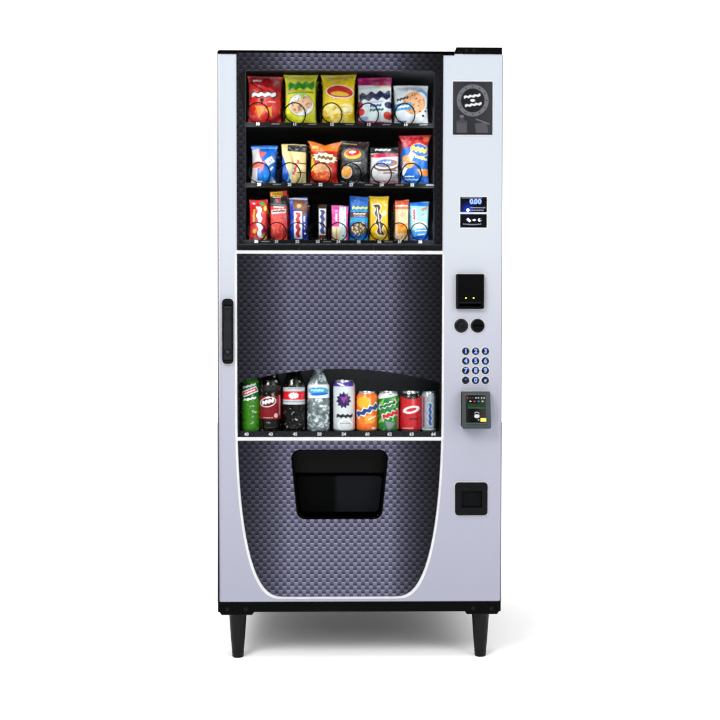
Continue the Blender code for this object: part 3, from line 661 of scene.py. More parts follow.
def add_rear_fittings():
    """The louvred grille over the machine bay, the appliance inlet and the condenser's fins behind them."""
    coat = powder_coat("grille_coat", "#18181a", 0.45)
    rear = CABINET_HIGH.y
    left, right, low, high = -0.336, 0.256, 0.209, 0.371
    inside, outside, edge = rear - 0.004, rear + 0.0022, 0.012
    bars = [((left, inside, low), (right, outside, low + edge))]
    bars += [((left, inside, high - edge), (right, outside, high))]
    bars += [((left, inside, low), (left + edge, outside, high))]
    bars += [((right - edge, inside, low), (right, outside, high))]
    for share in (0.25, 0.5, 0.75):
        middle = left + (right - left) * share
        bars.append(((middle - 0.004, inside, low), (middle + 0.004, rear + 0.0015, high)))
    shape = bmesh.new()
    for corner_low, corner_high in bars:
        add_box(shape, corner_low, corner_high, 0.0008, 1)
    slats = 15
    for index in range(slats):
        up = low + 0.018 + (high - low - 0.036) * index / (slats - 1)
        made = bmesh.ops.create_cube(shape, size=1.0)["verts"]
        bmesh.ops.scale(shape, vec=(right - left - 0.02, 0.0075, 0.0012), verts=made)
        turn = Matrix.Rotation(math.radians(-38), 4, "X")
        bmesh.ops.transform(shape, matrix=turn, verts=made)
        bmesh.ops.translate(shape, vec=((left + right) / 2, rear - 0.001, up), verts=made)
    piece("rear_grille", mesh_of(shape), coat, "root", "cabinet_paint")
    fins = []
    for index in range(56):
        across = -0.296 + 0.352 * index / 55
        fins.append(((across - 0.0004, 0.3903, 0.215), (across + 0.0004, 0.3960, 0.370)))
    fin_look = bare_metal("fin_alloy", "#96989b", 0.4)
    piece("condenser_fins", boxes(fins, 0.0), fin_look, "root", "machinery_steel")
    socket = moulded("inlet_black", "#161618", 0.4)
    middle_x, middle_z = 0.315, 0.282
    outer = rounded((middle_x - 0.021, middle_z - 0.018), (middle_x + 0.021, middle_z + 0.018), 0.003)
    inner = rounded((middle_x - 0.0135, middle_z - 0.0105), (middle_x + 0.0135, middle_z + 0.0105), 0.002)
    flange = plate([outer, inner], rear + 0.0003, rear + 0.0028, 0.0004)
    piece("inlet_flange", flange, socket, "root", "bin_plastic")
    pins = []
    for across, up in ((0.0, 0.003), (-0.007, -0.003), (0.007, -0.003)):
        x, z = middle_x + across, middle_z + up
        pins.append(((x - 0.001, rear - 0.018, z - 0.002), (x + 0.001, rear - 0.003, z + 0.002)))
    brass = bare_metal("pin_brass", "#bea05a", 0.3)
    piece("inlet_pins", boxes(pins, 0.0003), brass, "root", "fastener_steel")


# ---- trays, coils and packs -------------------------------------------------
def coil_span(number, tray):
    """Where a coil's wire starts, how far its turns reach back and the pitch of its even turns."""
    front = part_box("snack_tray_%d" % tray)[0].y + COIL_FRONT
    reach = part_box("spiral_%d" % number)[1].y - front - COIL_STUB
    return front, reach, (reach - COIL_FRONT_PITCH / 2) / (COIL_TURNS - 0.5)


def coil_points(number, tray):
    """The coil's route: a first half turn that stands nearly flat, even turns, and the stub to its motor."""
    radius = TRAYS[tray][2]
    axis = AXIS["coil_%d" % number]
    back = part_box("spiral_%d" % number)[1].y
    front, reach, pitch = coil_span(number, tray)
    fine = 28
    points = []
    for index in range(COIL_TURNS * fine + 1):
        turns = index / fine
        angle = math.pi + 2 * math.pi * turns
        depth = COIL_FRONT_PITCH * min(turns, 0.5) + pitch * max(turns - 0.5, 0.0)
        points.append(axis_point(axis, front + depth, radius, angle))
    for share in (0.35, 0.65, 0.9):
        points.append(axis_point(axis, front + reach + 0.004 * share, radius * (1 - share), math.pi))
    points.append((axis.x, front + reach + 0.007, axis.z))
    points.append((axis.x, back, axis.z))
    return points


def axis_point(axis, depth, radius, angle):
    """A point about a coil's axis, with the angle measured from straight up."""
    return (axis.x + radius * math.sin(angle), depth, axis.z + radius * math.cos(angle))


def add_trays():
    """Label strips, numbers and motors on each tray, and a round wire coil with its hub in each column."""
    coat = powder_coat("tray_coat", "#0d0d0e", 0.45)
    strip = moulded("strip_black", "#161618", 0.5)
    foot = moulded("strip_edge", "#222325", 0.45)
    ink = moulded("number_white", "#ecf0f4", 0.5)
    blank = moulded("blank_mark", "#96989c", 0.5)
    wire = powder_coat("wire_coat", "#09090a", 0.4, peel=900.0, depth=0.00008)
    hub = moulded("hub_plastic", "#3c3c40", 0.45)
    motor = moulded("motor_case", "#1e1f22", 0.5)
    for tray, (first, count, radius, gauge) in TRAYS.items():
        node = "snack_tray_%d" % tray
        body = "tray_%d" % tray
        finish_node(coat, node)
        low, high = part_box(node)
        numbers = range(first, first + count)
        rail_top = AXIS["coil_%d" % first].z - radius - gauge
        face = low.y - 0.0006
        left, right, back = low.x + 0.001, high.x - 0.001, low.y - 0.0001
        band = [((left, face, low.z + 0.0036), (right, back, rail_top - 0.0003))]
        piece(node + "_label_strip", boxes(band, 0.0002), strip, body, "label_strip")
        band = [((left, face - 0.0006, low.z + 0.0002), (right, back, low.z + 0.0034))]
        piece(node + "_strip_edge", boxes(band, 0.0003), foot, body, "label_strip")
        middle = (low.z + 0.0036 + rail_top) / 2
        entries = [(str(number), AXIS["coil_%d" % number].x, middle, 0.0084) for number in numbers]
        digits = lettering(entries, face, weight=0.00045)
        piece(node + "_numbers", digits, ink, body, "label_strip")
        marks = []
        for number in numbers:
            start = AXIS["coil_%d" % number].x + (0.043 if tray < 3 else 0.017)
            if tray == 3 and number % 3:
                continue
            for step in range(6):
                across = start + 0.0042 * step
                up = middle + 0.0008 * (step % 2)
                marks.append(((across, face - 0.0002, up - 0.0014), (across + 0.0030, face, up + 0.0014)))
        piece(node + "_price_marks", boxes(marks, 0.0), blank, body, "label_strip")
        shape = bmesh.new()
        gearbox = [(0.0, -0.040), (0.012, -0.040), (0.014, -0.026), (0.0, -0.0255)]
        half = Vector((0.024, 0.0, 0.026))
        for number in numbers:
            axis = AXIS["coil_%d" % number]
            place = Vector((axis.x, high.y + 0.0003, axis.z))
            add_box(shape, place - half, place + half + Vector((0.0, 0.0257, 0.0)), 0.002)
            lathe(shape, gearbox, place, "front", 20)
        piece(node + "_motors", mesh_of(shape), motor, body, "bin_plastic")
        for number in numbers:
            name = "spiral_%d" % number
            data = tube(coil_points(number, tray), gauge)
            piece("coil_of_%d" % number, data, wire, "coil_%d" % number, "coil_wire", name)
            axis = AXIS["coil_%d" % number]
            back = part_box(name)[1].y
            shape = bmesh.new()
            lathe(shape, HUB, (axis.x, back, axis.z), "front", 24)
            piece("coil_hub_%d" % number, mesh_of(shape), hub, "coil_%d" % number, "bin_plastic")


def add_bag(shape, centre, size, flare, seed, fine=True, notch=0.0):
    """A pillow bag: flat crimped seals, a full belly and creases that run in from the seals."""
    width, height, depth = size
    columns, rows = (36, 40) if fine else (14, 16)
    seal = SEAL / height
    draw = random.Random(seed)
    lean = draw.uniform(-0.03, 0.05)
    twist = draw.uniform(-0.05, 0.05)
    grid = {}
    for row in range(rows + 1):
        share = row / rows
        inner = min(max((share - seal) / (1 - 2 * seal), 0.0), 1.0)
        belly = math.sin(math.pi * inner) ** 0.55 if 0 < inner < 1 else 0.0
        half = width / 2 * (1.0 - 0.035 * belly)
        half += flare * max(0.0, (share - 0.82) / 0.18) ** 1.5
        half += 0.35 * flare * max(0.0, (0.14 - share) / 0.14) ** 1.5
        for column in range(columns + 1):
            across = -1 + 2 * column / columns
            edge = 1 - abs(across) ** 2.4
            up = share * height
            near = min(share, 1 - share) * height
            pull = math.exp(-near / 0.020) * (0 if belly == 0 else 1)
            rumple = noise.noise(Vector((across * 2.1, up * 22, seed * 7.3)))
            crease = math.sin(across * 13 + 4 * rumple + seed) * pull * 0.0024
            fine_fold = noise.noise(Vector((across * 6, up * 70, seed * 3.1)))
            fold = rumple * 0.0045 * belly + fine_fold * 0.0013 * belly
            tooth = 0.0
            if fine and row in (0, rows):
                tooth = (0.0008 if column % 2 else -0.0008) * (1 if row else -1)
            dip = notch * (1 - abs(across)) ** 1.5 * max(0.0, (share - 0.8) / 0.2) ** 2
            curl = 0.003 * math.sin(across * 2.4 + seed) * max(0.0, (share - 0.85) / 0.15)
            x = across * half + lean * (up - height / 2) * 0.6
            z = centre[2] + up + tooth - dip + 0.0022 * math.sin(across * 1.7 + seed) * share
            for sign in (-1, 1):
                thick = depth / 2 * belly * edge ** 0.75 + 0.0003
                y = centre[1] + sign * thick + (crease + fold) * edge + curl + twist * x
                if sign == 1 and column in (0, columns):
                    grid[sign, row, column] = grid[-1, row, column]
                    continue
                grid[sign, row, column] = shape.verts.new((centre[0] + x, y, z))
    for sign in (-1, 1):
        for row in range(rows):
            for column in range(columns):
                corners = [grid[sign, row, column], grid[sign, row, column + 1]]
                corners += [grid[sign, row + 1, column + 1], grid[sign, row + 1, column]]
                shape.faces.new(corners if sign == -1 else corners[::-1])
    for row in (0, rows):
        for column in range(columns):
            corners = [grid[-1, row, column], grid[-1, row, column + 1]]
            corners += [grid[1, row, column + 1], grid[1, row, column]]
            unique = list(dict.fromkeys(corners))
            shape.faces.new(unique)


def film_look(name, centre, base, width, height, colour, shapes):
    """Printed snack film: glossy, creased, with a ribbed crimp at each end, and paler patches painted in as
    sheen.
    """
    look = Look(name, colour, 0.30, specular=0.45)
    look.begin_print(centre, base, width / 2, height, colour)
    for entry in shapes:
        look.shape(*entry)
    _, _, up = look.axes()
    rise = look.math("SUBTRACT", up, base)
    ends = look.math("MINIMUM", rise, look.math("SUBTRACT", height, rise))
    seal = look.math("LESS_THAN", ends, SEAL)
    ribs = look.math("SINE", look.math("MULTIPLY", rise, 4200.0))
    look.bump(look.noise(70.0, 3.0), 0.0014)
    leaning = look.mapped(look.place, turn=(0.4, 0.5, 0.6), size=(1, 1, 1.7))
    fold = look.cells(46.0, leaning)
    look.bump(look.span(fold, 0.0, 0.25), 0.0007)
    look.bump(look.math("MULTIPLY", ribs, seal), 0.0002)
    # painted sheen: noise patches mixed towards white stand in for highlights; the same noise also varies the
    # gloss
    painted_sheen_and_gloss = look.noise(38.0, 4.0)
    look.ink = look.blend(look.span(painted_sheen_and_gloss, 0.55, 0.75, 0.0, 0.22), look.ink, WHITE)
    look.end_print()
    look.set("Roughness", look.span(painted_sheen_and_gloss, 0.3, 0.7, 0.22, 0.42))
    return look


# number: width, height, depth, shift from the coil, flare, base colour, shapes from back to front.
# A shape: kind, across in half widths, up as a share of the height, half width, half height, colour, turn.
# Some shapes stand in for light: painted glints, highlights and crease shade, each noted where it stands.
PACKS = {
    10: (0.104, 0.152, 0.044, 0.018, 0.005, "#d62824", [
        ("box", 0.40, 0.86, 1.3, 0.38, "#961018", 18), ("box", -0.50, 0.78, 0.5, 0.04, BLACK, 34),
        ("wave", -0.05, 0.60, 0.80, 0.24, BLACK), ("wave", -0.05, 0.60, 0.72, 0.15, WHITE),
        ("drop", -0.16, 0.47, 0.16, 0.14, BLACK), ("drop", -0.30, 0.25, 0.34, 0.34, "#f09632", 8),
        ("grains", -0.30, 0.25, 0.30, 0.30, ORANGE), ("drop", 0.32, 0.24, 0.26, 0.30, "#f6a03c", -22),
        ("wave", 0.42, 0.45, 0.24, 0.05, "#e2aab4"), ("wave", -0.45, 0.90, 0.26, 0.08, "#e6c8c8"),
        # the dark red box is painted shade in a crease; the white grains are painted glints along the bottom
        # seal
        ("box", 0.75, 0.13, 0.6, 0.14, "#96141a", -32), ("grains", 0, 0.025, 1.0, 0.05, WHITE)]),
    11: (0.097, 0.157, 0.042, 0.016, 0.006, "#e6e42c", [
        # the pale yellow oval at the upper left is a painted highlight
        ("oval", -0.3, 0.9, 0.7, 0.3, "#f6f05a"), ("wave", 0.06, 0.765, 0.90, 0.34, "#96ce3c", -4),
        ("wave", 0.06, 0.765, 0.82, 0.25, GREEN, -4), ("box", 0, 0.655, 0.84, 0.05, "#e2aa1e", 3),
        ("box", 0, 0.625, 0.84, 0.035, GREEN, -2), ("oval", 0.04, 0.385, 0.82, 0.72, "#3c5a28"),
        ("oval", 0.04, 0.385, 0.79, 0.69, WHITE), ("oval", -0.22, 0.35, 0.48, 0.42, "#e8c49c"),
        ("oval", 0.36, 0.43, 0.40, 0.44, "#e2b892"), ("grains", 0.04, 0.38, 0.70, 0.60, "#c47854"),
        ("drop", 0.1, 0.56, 0.3, 0.2, "#aad25a")]),
    12: (0.102, 0.158, 0.044, 0.021, 0.006, "#fad418", [
        ("box", 0, 0.93, 1.4, 0.10, "#fee446"), ("oval", 0.08, 0.645, 0.86, 0.42, WHITE, 4),
        ("oval", 0.08, 0.645, 0.80, 0.37, "#d6281e", 4), ("oval", 0.08, 0.60, 0.56, 0.14, "#fac83c", 4),
        ("oval", -0.40, 0.26, 0.52, 0.42, "#fae88c", 12), ("oval", 0.46, 0.30, 0.42, 0.34, "#faecaa", -20),
        ("oval", 0.1, 0.10, 0.6, 0.22, "#fae278"), ("grains", 0, 0.22, 1.0, 0.5, "#ecb428"),
        ("grains", -0.5, 0.9, 0.3, 0.12, "#82826e")]),
    13: (0.106, 0.149, 0.040, 0.021, 0.001, "#d8e4ec", [
        ("box", 0, 0.93, 1.4, 0.30, "#b81a74", 2), ("grains", -0.1, 0.93, 0.9, 0.16, "#e8466e"),
        ("box", 0.45, 0.815, 0.5, 0.035, "#f0d246", -5), ("wave", -0.5, 0.80, 0.4, 0.04, WHITE, -3),
        ("box", 0, 0.735, 1.2, 0.10, WHITE, -5), ("wave", 0, 0.60, 0.92, 0.28, "#161a46", -6),
        ("box", 0, 0.47, 0.5, 0.04, "#beaad2", -5), ("oval", -0.90, 0.42, 0.20, 0.20, "#96143c"),
        ("oval", -0.84, 0.27, 0.24, 0.22, RED), ("oval", 0.84, 0.42, 0.28, 0.20, "#221c54"),
        ("oval", 0.78, 0.20, 0.28, 0.24, "#de4632", 20), ("wave", 0.05, 0.40, 0.34, 0.10, "#465aa0", -6),
        ("wave", 0.10, 0.31, 0.42, 0.09, "#3c6e78", -6), ("oval", -0.6, 0.14, 0.22, 0.12, "#96b4dc"),
        ("box", 0, 0.03, 1.4, 0.15, "#b81a74", 3)]),
    14: (0.107, 0.124, 0.038, 0.021, 0.001, "#e2e8f0", [
        ("oval", 0.66, 0.66, 0.42, 0.60, "#6ea0d2", -20), ("oval", 0.60, 0.62, 0.36, 0.52, "#dee6f0", -20),
        ("oval", 0.16, 0.55, 0.66, 0.66, "#e0a676", -12), ("grains", 0.16, 0.55, 0.62, 0.62, "#ba784e", -12),
        ("oval", 0.06, 0.75, 0.05, 0.05, BROWN), ("oval", 0.30, 0.66, 0.06, 0.05, BROWN),
        ("oval", 0.44, 0.48, 0.05, 0.06, BROWN), ("oval", 0.20, 0.33, 0.06, 0.05, BROWN),
        ("oval", 0.52, 0.34, 0.05, 0.05, BROWN), ("box", -0.50, 0.46, 0.52, 0.20, "#2c9cdc", -6),
        ("wave", -0.50, 0.46, 0.38, 0.08, WHITE, -6), ("wave", -0.50, 0.66, 0.36, 0.09, "#1e223c", -14),
        ("oval", 0.70, 0.24, 0.08, 0.07, BLACK), ("oval", 0.84, 0.36, 0.07, 0.06, BROWN),
        ("wave", -0.55, 0.10, 0.30, 0.05, "#5a78b4")]),
    20: (0.076, 0.119, 0.034, 0.011, 0.004, "#1068ce", [
        ("box", -0.62, 0.66, 0.42, 0.80, "#cec8ce", -14), ("box", -0.80, 0.22, 0.26, 0.66, "#dcd4d8"),
        ("drop", -0.18, 0.75, 0.36, 0.30, "#e45c4e", 16), ("oval", -0.58, 0.50, 0.40, 0.26, "#e06042", -16),
        ("box", -0.14, 0.44, 0.15, 0.46, "#e0788c", 18), ("oval", 0.10, 0.22, 0.56, 0.46, "#1480e8"),
        ("box", 0.50, 0.60, 0.34, 0.26, WHITE, -36), ("grains", 0.50, 0.60, 0.30, 0.22, "#143c96", -36),
        ("box", 0.62, 0.40, 0.20, 0.08, WHITE, -50), ("drop", 0.70, 0.10, 0.30, 0.26, WHITE, 180),
        ("wave", -0.5, 0.07, 0.36, 0.07, WHITE), ("box", 0, 0.95, 1.4, 0.05, "#78b4ec")]),
    21: (0.079, 0.124, 0.034, 0.012, 0.001, "#f0d696", [
        ("box", 0.5, 0.515, 0.52, 0.045, BROWN), ("box", 0.5, 0.285, 0.52, 0.04, "#6e5028"),
        ("oval", 0.5, 0.40, 0.34, 0.22, "#fae6b0"), ("oval", 0.5, 0.15, 0.34, 0.22, "#fae6b0"),
        ("box", -0.08, 0.5, 0.10, 1.6, "#deb878", -16), ("wave", 0.12, 0.42, 0.62, 0.13, "#ce3c50", -70),
        ("box", -0.88, 0.24, 0.42, 1.5, "#1458c8", -18), ("wave", -0.34, 0.22, 0.60, 0.07, SKY, -66),
        ("box", 0.32, 0.90, 0.86, 0.28, "#2c2d30", 3), ("grains", 0.32, 0.90, 0.86, 0.26, "#828488"),
        ("box", 0.97, 0.5, 0.06, 3.0, "#1e1e1e")]),
    22: (0.086, 0.135, 0.040, 0.011, 0.012, "#ce1e1a", [
        ("box", 0, 0.92, 1.6, 0.50, "#f88020"), ("wave", -0.66, 0.86, 0.26, 0.14, "#fabe82"),
        ("box", -0.95, 0.5, 0.20, 0.6, "#f0be28", -14), ("burst", 0.06, 0.60, 0.92, 0.40, "#3c1e14", 8),
        ("burst", 0.06, 0.60, 0.84, 0.34, "#faf0c8", 8), ("wave", 0.06, 0.60, 0.56, 0.16, "#78461e", 8),
        ("oval", -0.12, 0.32, 0.66, 0.46, "#eea078", 10), ("grains", -0.12, 0.32, 0.66, 0.46, "#fad682"),
        ("oval", -0.1, 0.20, 0.70, 0.28, "#e85432", -12), ("grains", -0.05, 0.18, 0.8, 0.34, "#faa03c", 30),
        ("box", -0.1, 0.05, 0.7, 0.08, "#3c0a0c", 5)]),
    23: (0.088, 0.136, 0.040, 0.011, 0.002, "#262628", [
        ("oval", -0.10, 0.68, 0.84, 0.50, "#5c5c60"), ("oval", -0.13, 0.685, 0.62, 0.36, "#f8be32"),
        ("oval", -0.13, 0.720, 0.50, 0.24, "#d62c28", -4), ("oval", -0.13, 0.735, 0.26, 0.10, WHITE, -4),
        ("wave", 0.0, 0.475, 0.46, 0.06, "#c8c8cc", -4), ("oval", -0.56, 0.27, 0.40, 0.44, "#e6e2dc"),
        ("oval", -0.56, 0.28, 0.36, 0.40, "#ee9c3e"), ("grains", -0.56, 0.28, 0.34, 0.38, "#fcc464"),
        ("grains", 0.45, 0.34, 0.6, 0.5, "#464648"), ("grains", 0.2, 0.92, 0.8, 0.12, "#962828"),
        # the pale grains along the bottom are painted glints on the seal
        ("wave", -0.3, 0.93, 0.5, 0.03, "#dcc896", 5), ("grains", 0, 0.05, 1.0, 0.10, "#dcdce0", 2)]),
    24: (0.089, 0.117, 0.040, 0.011, 0.001, "#e4e0e6", [
        ("box", 0, 0.92, 1.4, 0.24, "#1a2424"), ("wave", -0.1, 0.93, 0.56, 0.08, WHITE),
        ("oval", 0, 0.775, 1.1, 0.16, "#be3256", -2), ("oval", -0.6, 0.74, 0.4, 0.09, "#ce283c", 6),
        ("oval", 0.14, 0.50, 0.92, 0.40, "#7e5438", -6), ("oval", 0.14, 0.53, 0.84, 0.34, WHITE, -6),
        ("oval", 0.14, 0.555, 0.78, 0.28, "#b07854", -6), ("oval", 0.02, 0.57, 0.62, 0.24, "#6074c8", -6),
        ("wave", 0.02, 0.57, 0.44, 0.10, "#ced6f4", -6), ("box", 0.2, 0.37, 0.7, 0.05, "#825438", -2),
        ("box", 0.3, 0.30, 0.4, 0.04, "#784c28", -2), ("box", 0, 0.06, 1.3, 0.12, "#ce6e8c"),
        # the white grains along the bottom are painted glints on the seal
        ("grains", 0, 0.06, 1.0, 0.10, WHITE)]),
    25: (0.085, 0.155, 0.040, 0.013, 0.009, "#1668c8", [
        # the pink grains on the red top are painted highlights on its creases
        ("box", -0.1, 0.91, 1.6, 0.52, "#c41c2e", -8), ("grains", -0.3, 0.88, 0.8, 0.4, "#ec5a68"),
        ("oval", 0.84, 0.92, 0.26, 0.2, "#e26e3c"), ("oval", 0.32, 0.69, 0.70, 0.50, "#f8ce5a", 14),
        ("oval", 0.32, 0.69, 0.64, 0.45, "#1864c8", 14), ("wave", 0.30, 0.70, 0.56, 0.22, "#fcdc5a", 10),
        ("wave", 0.44, 0.53, 0.46, 0.11, "#fae26e", 14), ("box", -0.6, 0.42, 0.20, 0.9, WHITE, 28),
        ("oval", -0.66, 0.52, 0.30, 0.24, "#e89c5a"), ("oval", -0.44, 0.395, 0.40, 0.26, "#e29654", -10),
        ("grains", -0.50, 0.43, 0.44, 0.40, "#face8c"), ("drop", 0.42, 0.235, 0.30, 0.26, "#f0be5a"),
        ("oval", 0.76, 0.24, 0.26, 0.28, "#de8c46"), ("wave", -0.42, 0.16, 0.34, 0.05, WHITE),
        ("wave", -0.30, 0.10, 0.54, 0.07, "#aad2fa"), ("box", -0.7, 0.02, 0.5, 0.05, "#be1e32")]),
    30: (0.056, 0.128, 0.020, 0.002, 0.001, "#d61e2a", [
        ("box", -0.48, 0.60, 0.10, 0.7, "#fac83c", 3), ("wave", 0.14, 0.44, 1.80, 0.42, "#961428", 88),
        ("wave", 0.14, 0.44, 1.74, 0.33, WHITE, 88), ("oval", 0.45, 0.90, 0.34, 0.22, "#64b446", 20),
        ("oval", 0.78, 0.78, 0.18, 0.3, "#f0dc46"), ("oval", -0.5, 0.90, 0.16, 0.12, WHITE),
        ("oval", -0.42, 0.22, 0.22, 0.26, "#fabe32", 20), ("oval", 0.66, 0.24, 0.20, 0.20, "#601e6e"),
        ("oval", 0.52, 0.12, 0.20, 0.14, "#6eb43c"), ("oval", 0.80, 0.06, 0.30, 0.12, "#f6d25a", -30)]),
    31: (0.054, 0.154, 0.024, 0.003, 0.000, "#e03e38", [
        ("box", 0, 0.80, 1.4, 0.60, "#1e1f21"), ("box", -0.25, 0.945, 0.70, 0.30, "#f4b41e"),
        ("wave", -0.25, 0.945, 0.5, 0.06, "#783c14"), ("wave", -0.2, 0.875, 0.46, 0.06, WHITE),
        ("drop", -0.1, 0.80, 0.34, 0.24, "#ce1e3c"), ("box", 0, 0.72, 1.2, 0.10, "#5a6468", 4),
        ("wave", 0, 0.67, 0.6, 0.10, "#e6e6e6", 4), ("box", 0, 0.585, 0.86, 0.24, "#e2cece", -4),
        ("wave", 0, 0.59, 0.74, 0.12, "#46141e", -4), ("grains", 0, 0.26, 0.9, 1.1, "#f06854"),
        ("box", 0.55, 0.26, 0.06, 1.1, "#b02428"), ("box", 0, 0.44, 0.9, 0.05, "#be282c")]),
    32: (0.055, 0.134, 0.020, 0.002, 0.001, "#1636aa", [
        ("box", 0.20, 0.82, 0.80, 0.56, "#8c522c", 10), ("oval", 0.04, 0.80, 0.26, 0.24, "#ceb478"),
        ("box", 0.5, 0.64, 0.26, 0.3, "#824a24"), ("box", -0.06, 0.36, 0.46, 1.55, WHITE),
        ("wave", -0.06, 0.36, 1.42, 0.30, "#ce3842", 90), ("wave", 0.66, 0.50, 0.34, 0.12, WHITE, 90),
        ("wave", 0.70, 0.32, 0.30, 0.10, "#becef0", 90), ("oval", 0.74, 0.16, 0.12, 0.10, WHITE),
        ("box", 0, 0.975, 1.4, 0.10, "#e2e6f0", 3)]),
    33: (0.026, 0.112, 0.016, 0.013, 0.001, "#3c221a", [
        ("box", 0.05, 0.52, 0.84, 3.2, "#ececf4"), ("wave", 0.05, 0.52, 2.9, 0.62, "#323a82", 90),
        # the white grains along the bottom are painted glints on the seal
        ("grains", 0, 0.11, 0.8, 0.5, "#be503c"), ("grains", 0, 0.03, 1.0, 0.2, WHITE)]),
    34: (0.052, 0.109, 0.018, 0.005, 0.001, "#ec48a8", [
        ("box", 0.34, 0.5, 0.40, 3.0, "#f0f6f8"), ("grains", 0.34, 0.5, 0.34, 2.2, "#96d6d8"),
        ("box", -0.46, 0.20, 0.48, 0.84, "#f4deb4"), ("box", -0.40, 0.20, 0.08, 0.60, "#c8a06e"),
        ("oval", -0.42, 0.86, 0.20, 0.10, "#b4bef0"), ("wave", -0.42, 0.66, 0.44, 0.12, WHITE, 90),
        ("oval", 0.40, 0.14, 0.16, 0.12, "#3c96c8"), ("box", 0, 0.985, 1.3, 0.06, "#dc78be")]),
    35: (0.058, 0.139, 0.024, 0.002, 0.001, "#146ace", [
        ("wave", 0.1, 0.735, 0.84, 0.16, "#cee246"), ("box", 0, 0.665, 1.3, 0.08, "#14a0dc"),
        ("box", 0, 0.585, 1.3, 0.26, "#5c382c"), ("wave", 0.05, 0.60, 0.66, 0.10, "#e6d6d8"),
        ("wave", 0.05, 0.55, 0.56, 0.06, "#c8a0a0"), ("box", 0, 0.46, 1.3, 0.26, "#1ea0d6"),
        ("oval", 0, 0.27, 0.92, 0.72, "#6e4c32"), ("grains", 0, 0.27, 0.9, 0.70, "#fadca0"),
        ("grains", 0.2, 0.24, 0.8, 0.6, "#466e46", 60), ("grains", -0.2, 0.24, 0.7, 0.6, "#f6d6be", 130),
        ("box", 0, 0.03, 1.3, 0.12, "#1496d6")]),
    36: (0.058, 0.140, 0.022, 0.002, 0.002, "#f8c616", [
        ("wave", -0.03, 0.46, 1.80, 0.50, WHITE, 82), ("wave", -0.03, 0.46, 1.70, 0.37, "#542e22", 82),
        ("box", -0.03, 0.46, 0.05, 1.40, WHITE, -8), ("oval", 0.46, 0.86, 0.20, 0.24, "#fae25a", 10),
        ("oval", 0.70, 0.80, 0.12, 0.10, WHITE), ("oval", 0.58, 0.62, 0.22, 0.30, "#e6e2be", 10),
        ("oval", 0.20, 0.10, 0.30, 0.16, "#feec96"), ("box", 0, 0.985, 1.3, 0.06, "#fcdc5a")]),
    37: (0.042, 0.128, 0.018, 0.010, 0.001, "#fad0a4", [
        ("box", 0, 0.93, 1.4, 0.40, "#e25434"), ("wave", 0.1, 0.865, 0.74, 0.08, WHITE),
        ("box", 0, 0.80, 1.4, 0.20, "#f07850"), ("ring", 0.1, 0.64, 0.30, 0.30, "#e28c64"),
        ("wave", 0.1, 0.64, 0.5, 0.06, "#e6a078", -20), ("box", 0.1, 0.30, 0.72, 0.72, "#f49e2c"),
        ("grains", 0.1, 0.30, 0.70, 0.70, "#fcba50"), ("oval", 0.1, 0.36, 0.3, 0.2, "#e2781e")]),
    38: (0.058, 0.121, 0.020, 0.002, 0.002, "#96d4e8", [
        ("box", 0, 0.955, 1.4, 0.22, "#1874d6", 2), ("wave", -0.56, 0.68, 0.66, 0.26, WHITE, 88),
        ("wave", -0.56, 0.68, 0.58, 0.15, "#be3254", 88), ("box", 0.56, 0.83, 0.40, 0.14, "#ce9664", -26),
        ("grains", 0.52, 0.80, 0.40, 0.2, "#463232"), ("box", 0.40, 0.68, 0.22, 0.05, "#3c506e", -34),
        ("oval", 0.05, 0.42, 0.80, 0.36, "#ecece6"), ("grains", 0.05, 0.40, 0.74, 0.30, "#c8cec4"),
        ("box", 0, 0.16, 1.4, 0.56, "#4696e0", -8), ("wave", 0.2, 0.26, 0.66, 0.07, WHITE, -4),
        ("box", 0, 0.05, 1.4, 0.34, "#0e5ace", -12), ("oval", 0.2, 0.16, 0.5, 0.08, "#bee0fa", -6)]),
}
PACKS_DEEP = 4                          # packs on each coil, the front one in full detail


def add_packs():
    """Packs standing between the turns of each coil."""
    for tray, (first, count, radius, gauge) in TRAYS.items():
        for number in range(first, first + count):
            width, height, depth, shift, flare, colour, shapes = PACKS[number]
            axis = AXIS["coil_%d" % number]
            base = axis.z - radius + gauge + 0.0006
            front, _, pitch = coil_span(number, tray)
            centre = axis.x + shift
            notch = 0.014 if number == 22 else 0.0
            shape = bmesh.new()
            for index in range(PACKS_DEEP):
                place = (centre, front + COIL_FRONT_PITCH / 2 + pitch * (index + 0.5), base)
                add_bag(shape, place, (width, height, depth), flare, number + index * 0.37, index == 0, notch)
            name = "packs_%d" % number
            look = film_look(name, centre, base, width, height, colour, shapes)
            piece(name, mesh_of(shape, 70), look, "tray_%d" % tray, "snack_film")


# ---- drinks in the display --------------------------------------------------
def bottle_profile(height, radius, ribs=False):
    """A small drinks bottle: petal foot, label waist, shoulder, neck, neck ring and cap."""
    body = []
    for index in range(30):
        share = index / 29
        reach = radius * (1 - 0.02 * math.sin(share * math.pi * 10) if ribs else 1)
        body.append((reach, 0.014 + share * (height * 0.47 - 0.014)))
    points = [(0.0, 0.003), (radius * 0.55, 0.0), (radius * 0.82, 0.001), (radius * 0.97, 0.008)]
    points += body
    points += [(radius * 0.975, height * 0.475), (radius * 0.975, height * 0.655), (radius, height * 0.66)]
    for index in range(1, 13):
        share = index / 12
        bend = 0.15 * math.sqrt(1 - share ** 2) + 0.85 * (1 - share ** 1.15)
        points.append((0.0130 + (radius - 0.0130) * bend, height * (0.66 + 0.235 * share)))
    neck = height * 0.895
    points += [(0.0128, neck + 0.001), (0.0165, neck + 0.002), (0.0165, neck + 0.0035)]
    points += [(0.0136, neck + 0.0045), (0.0140, neck + 0.006), (0.0140, height - 0.001)]
    points += [(0.0130, height), (0.0, height)]
    return points[::-1]


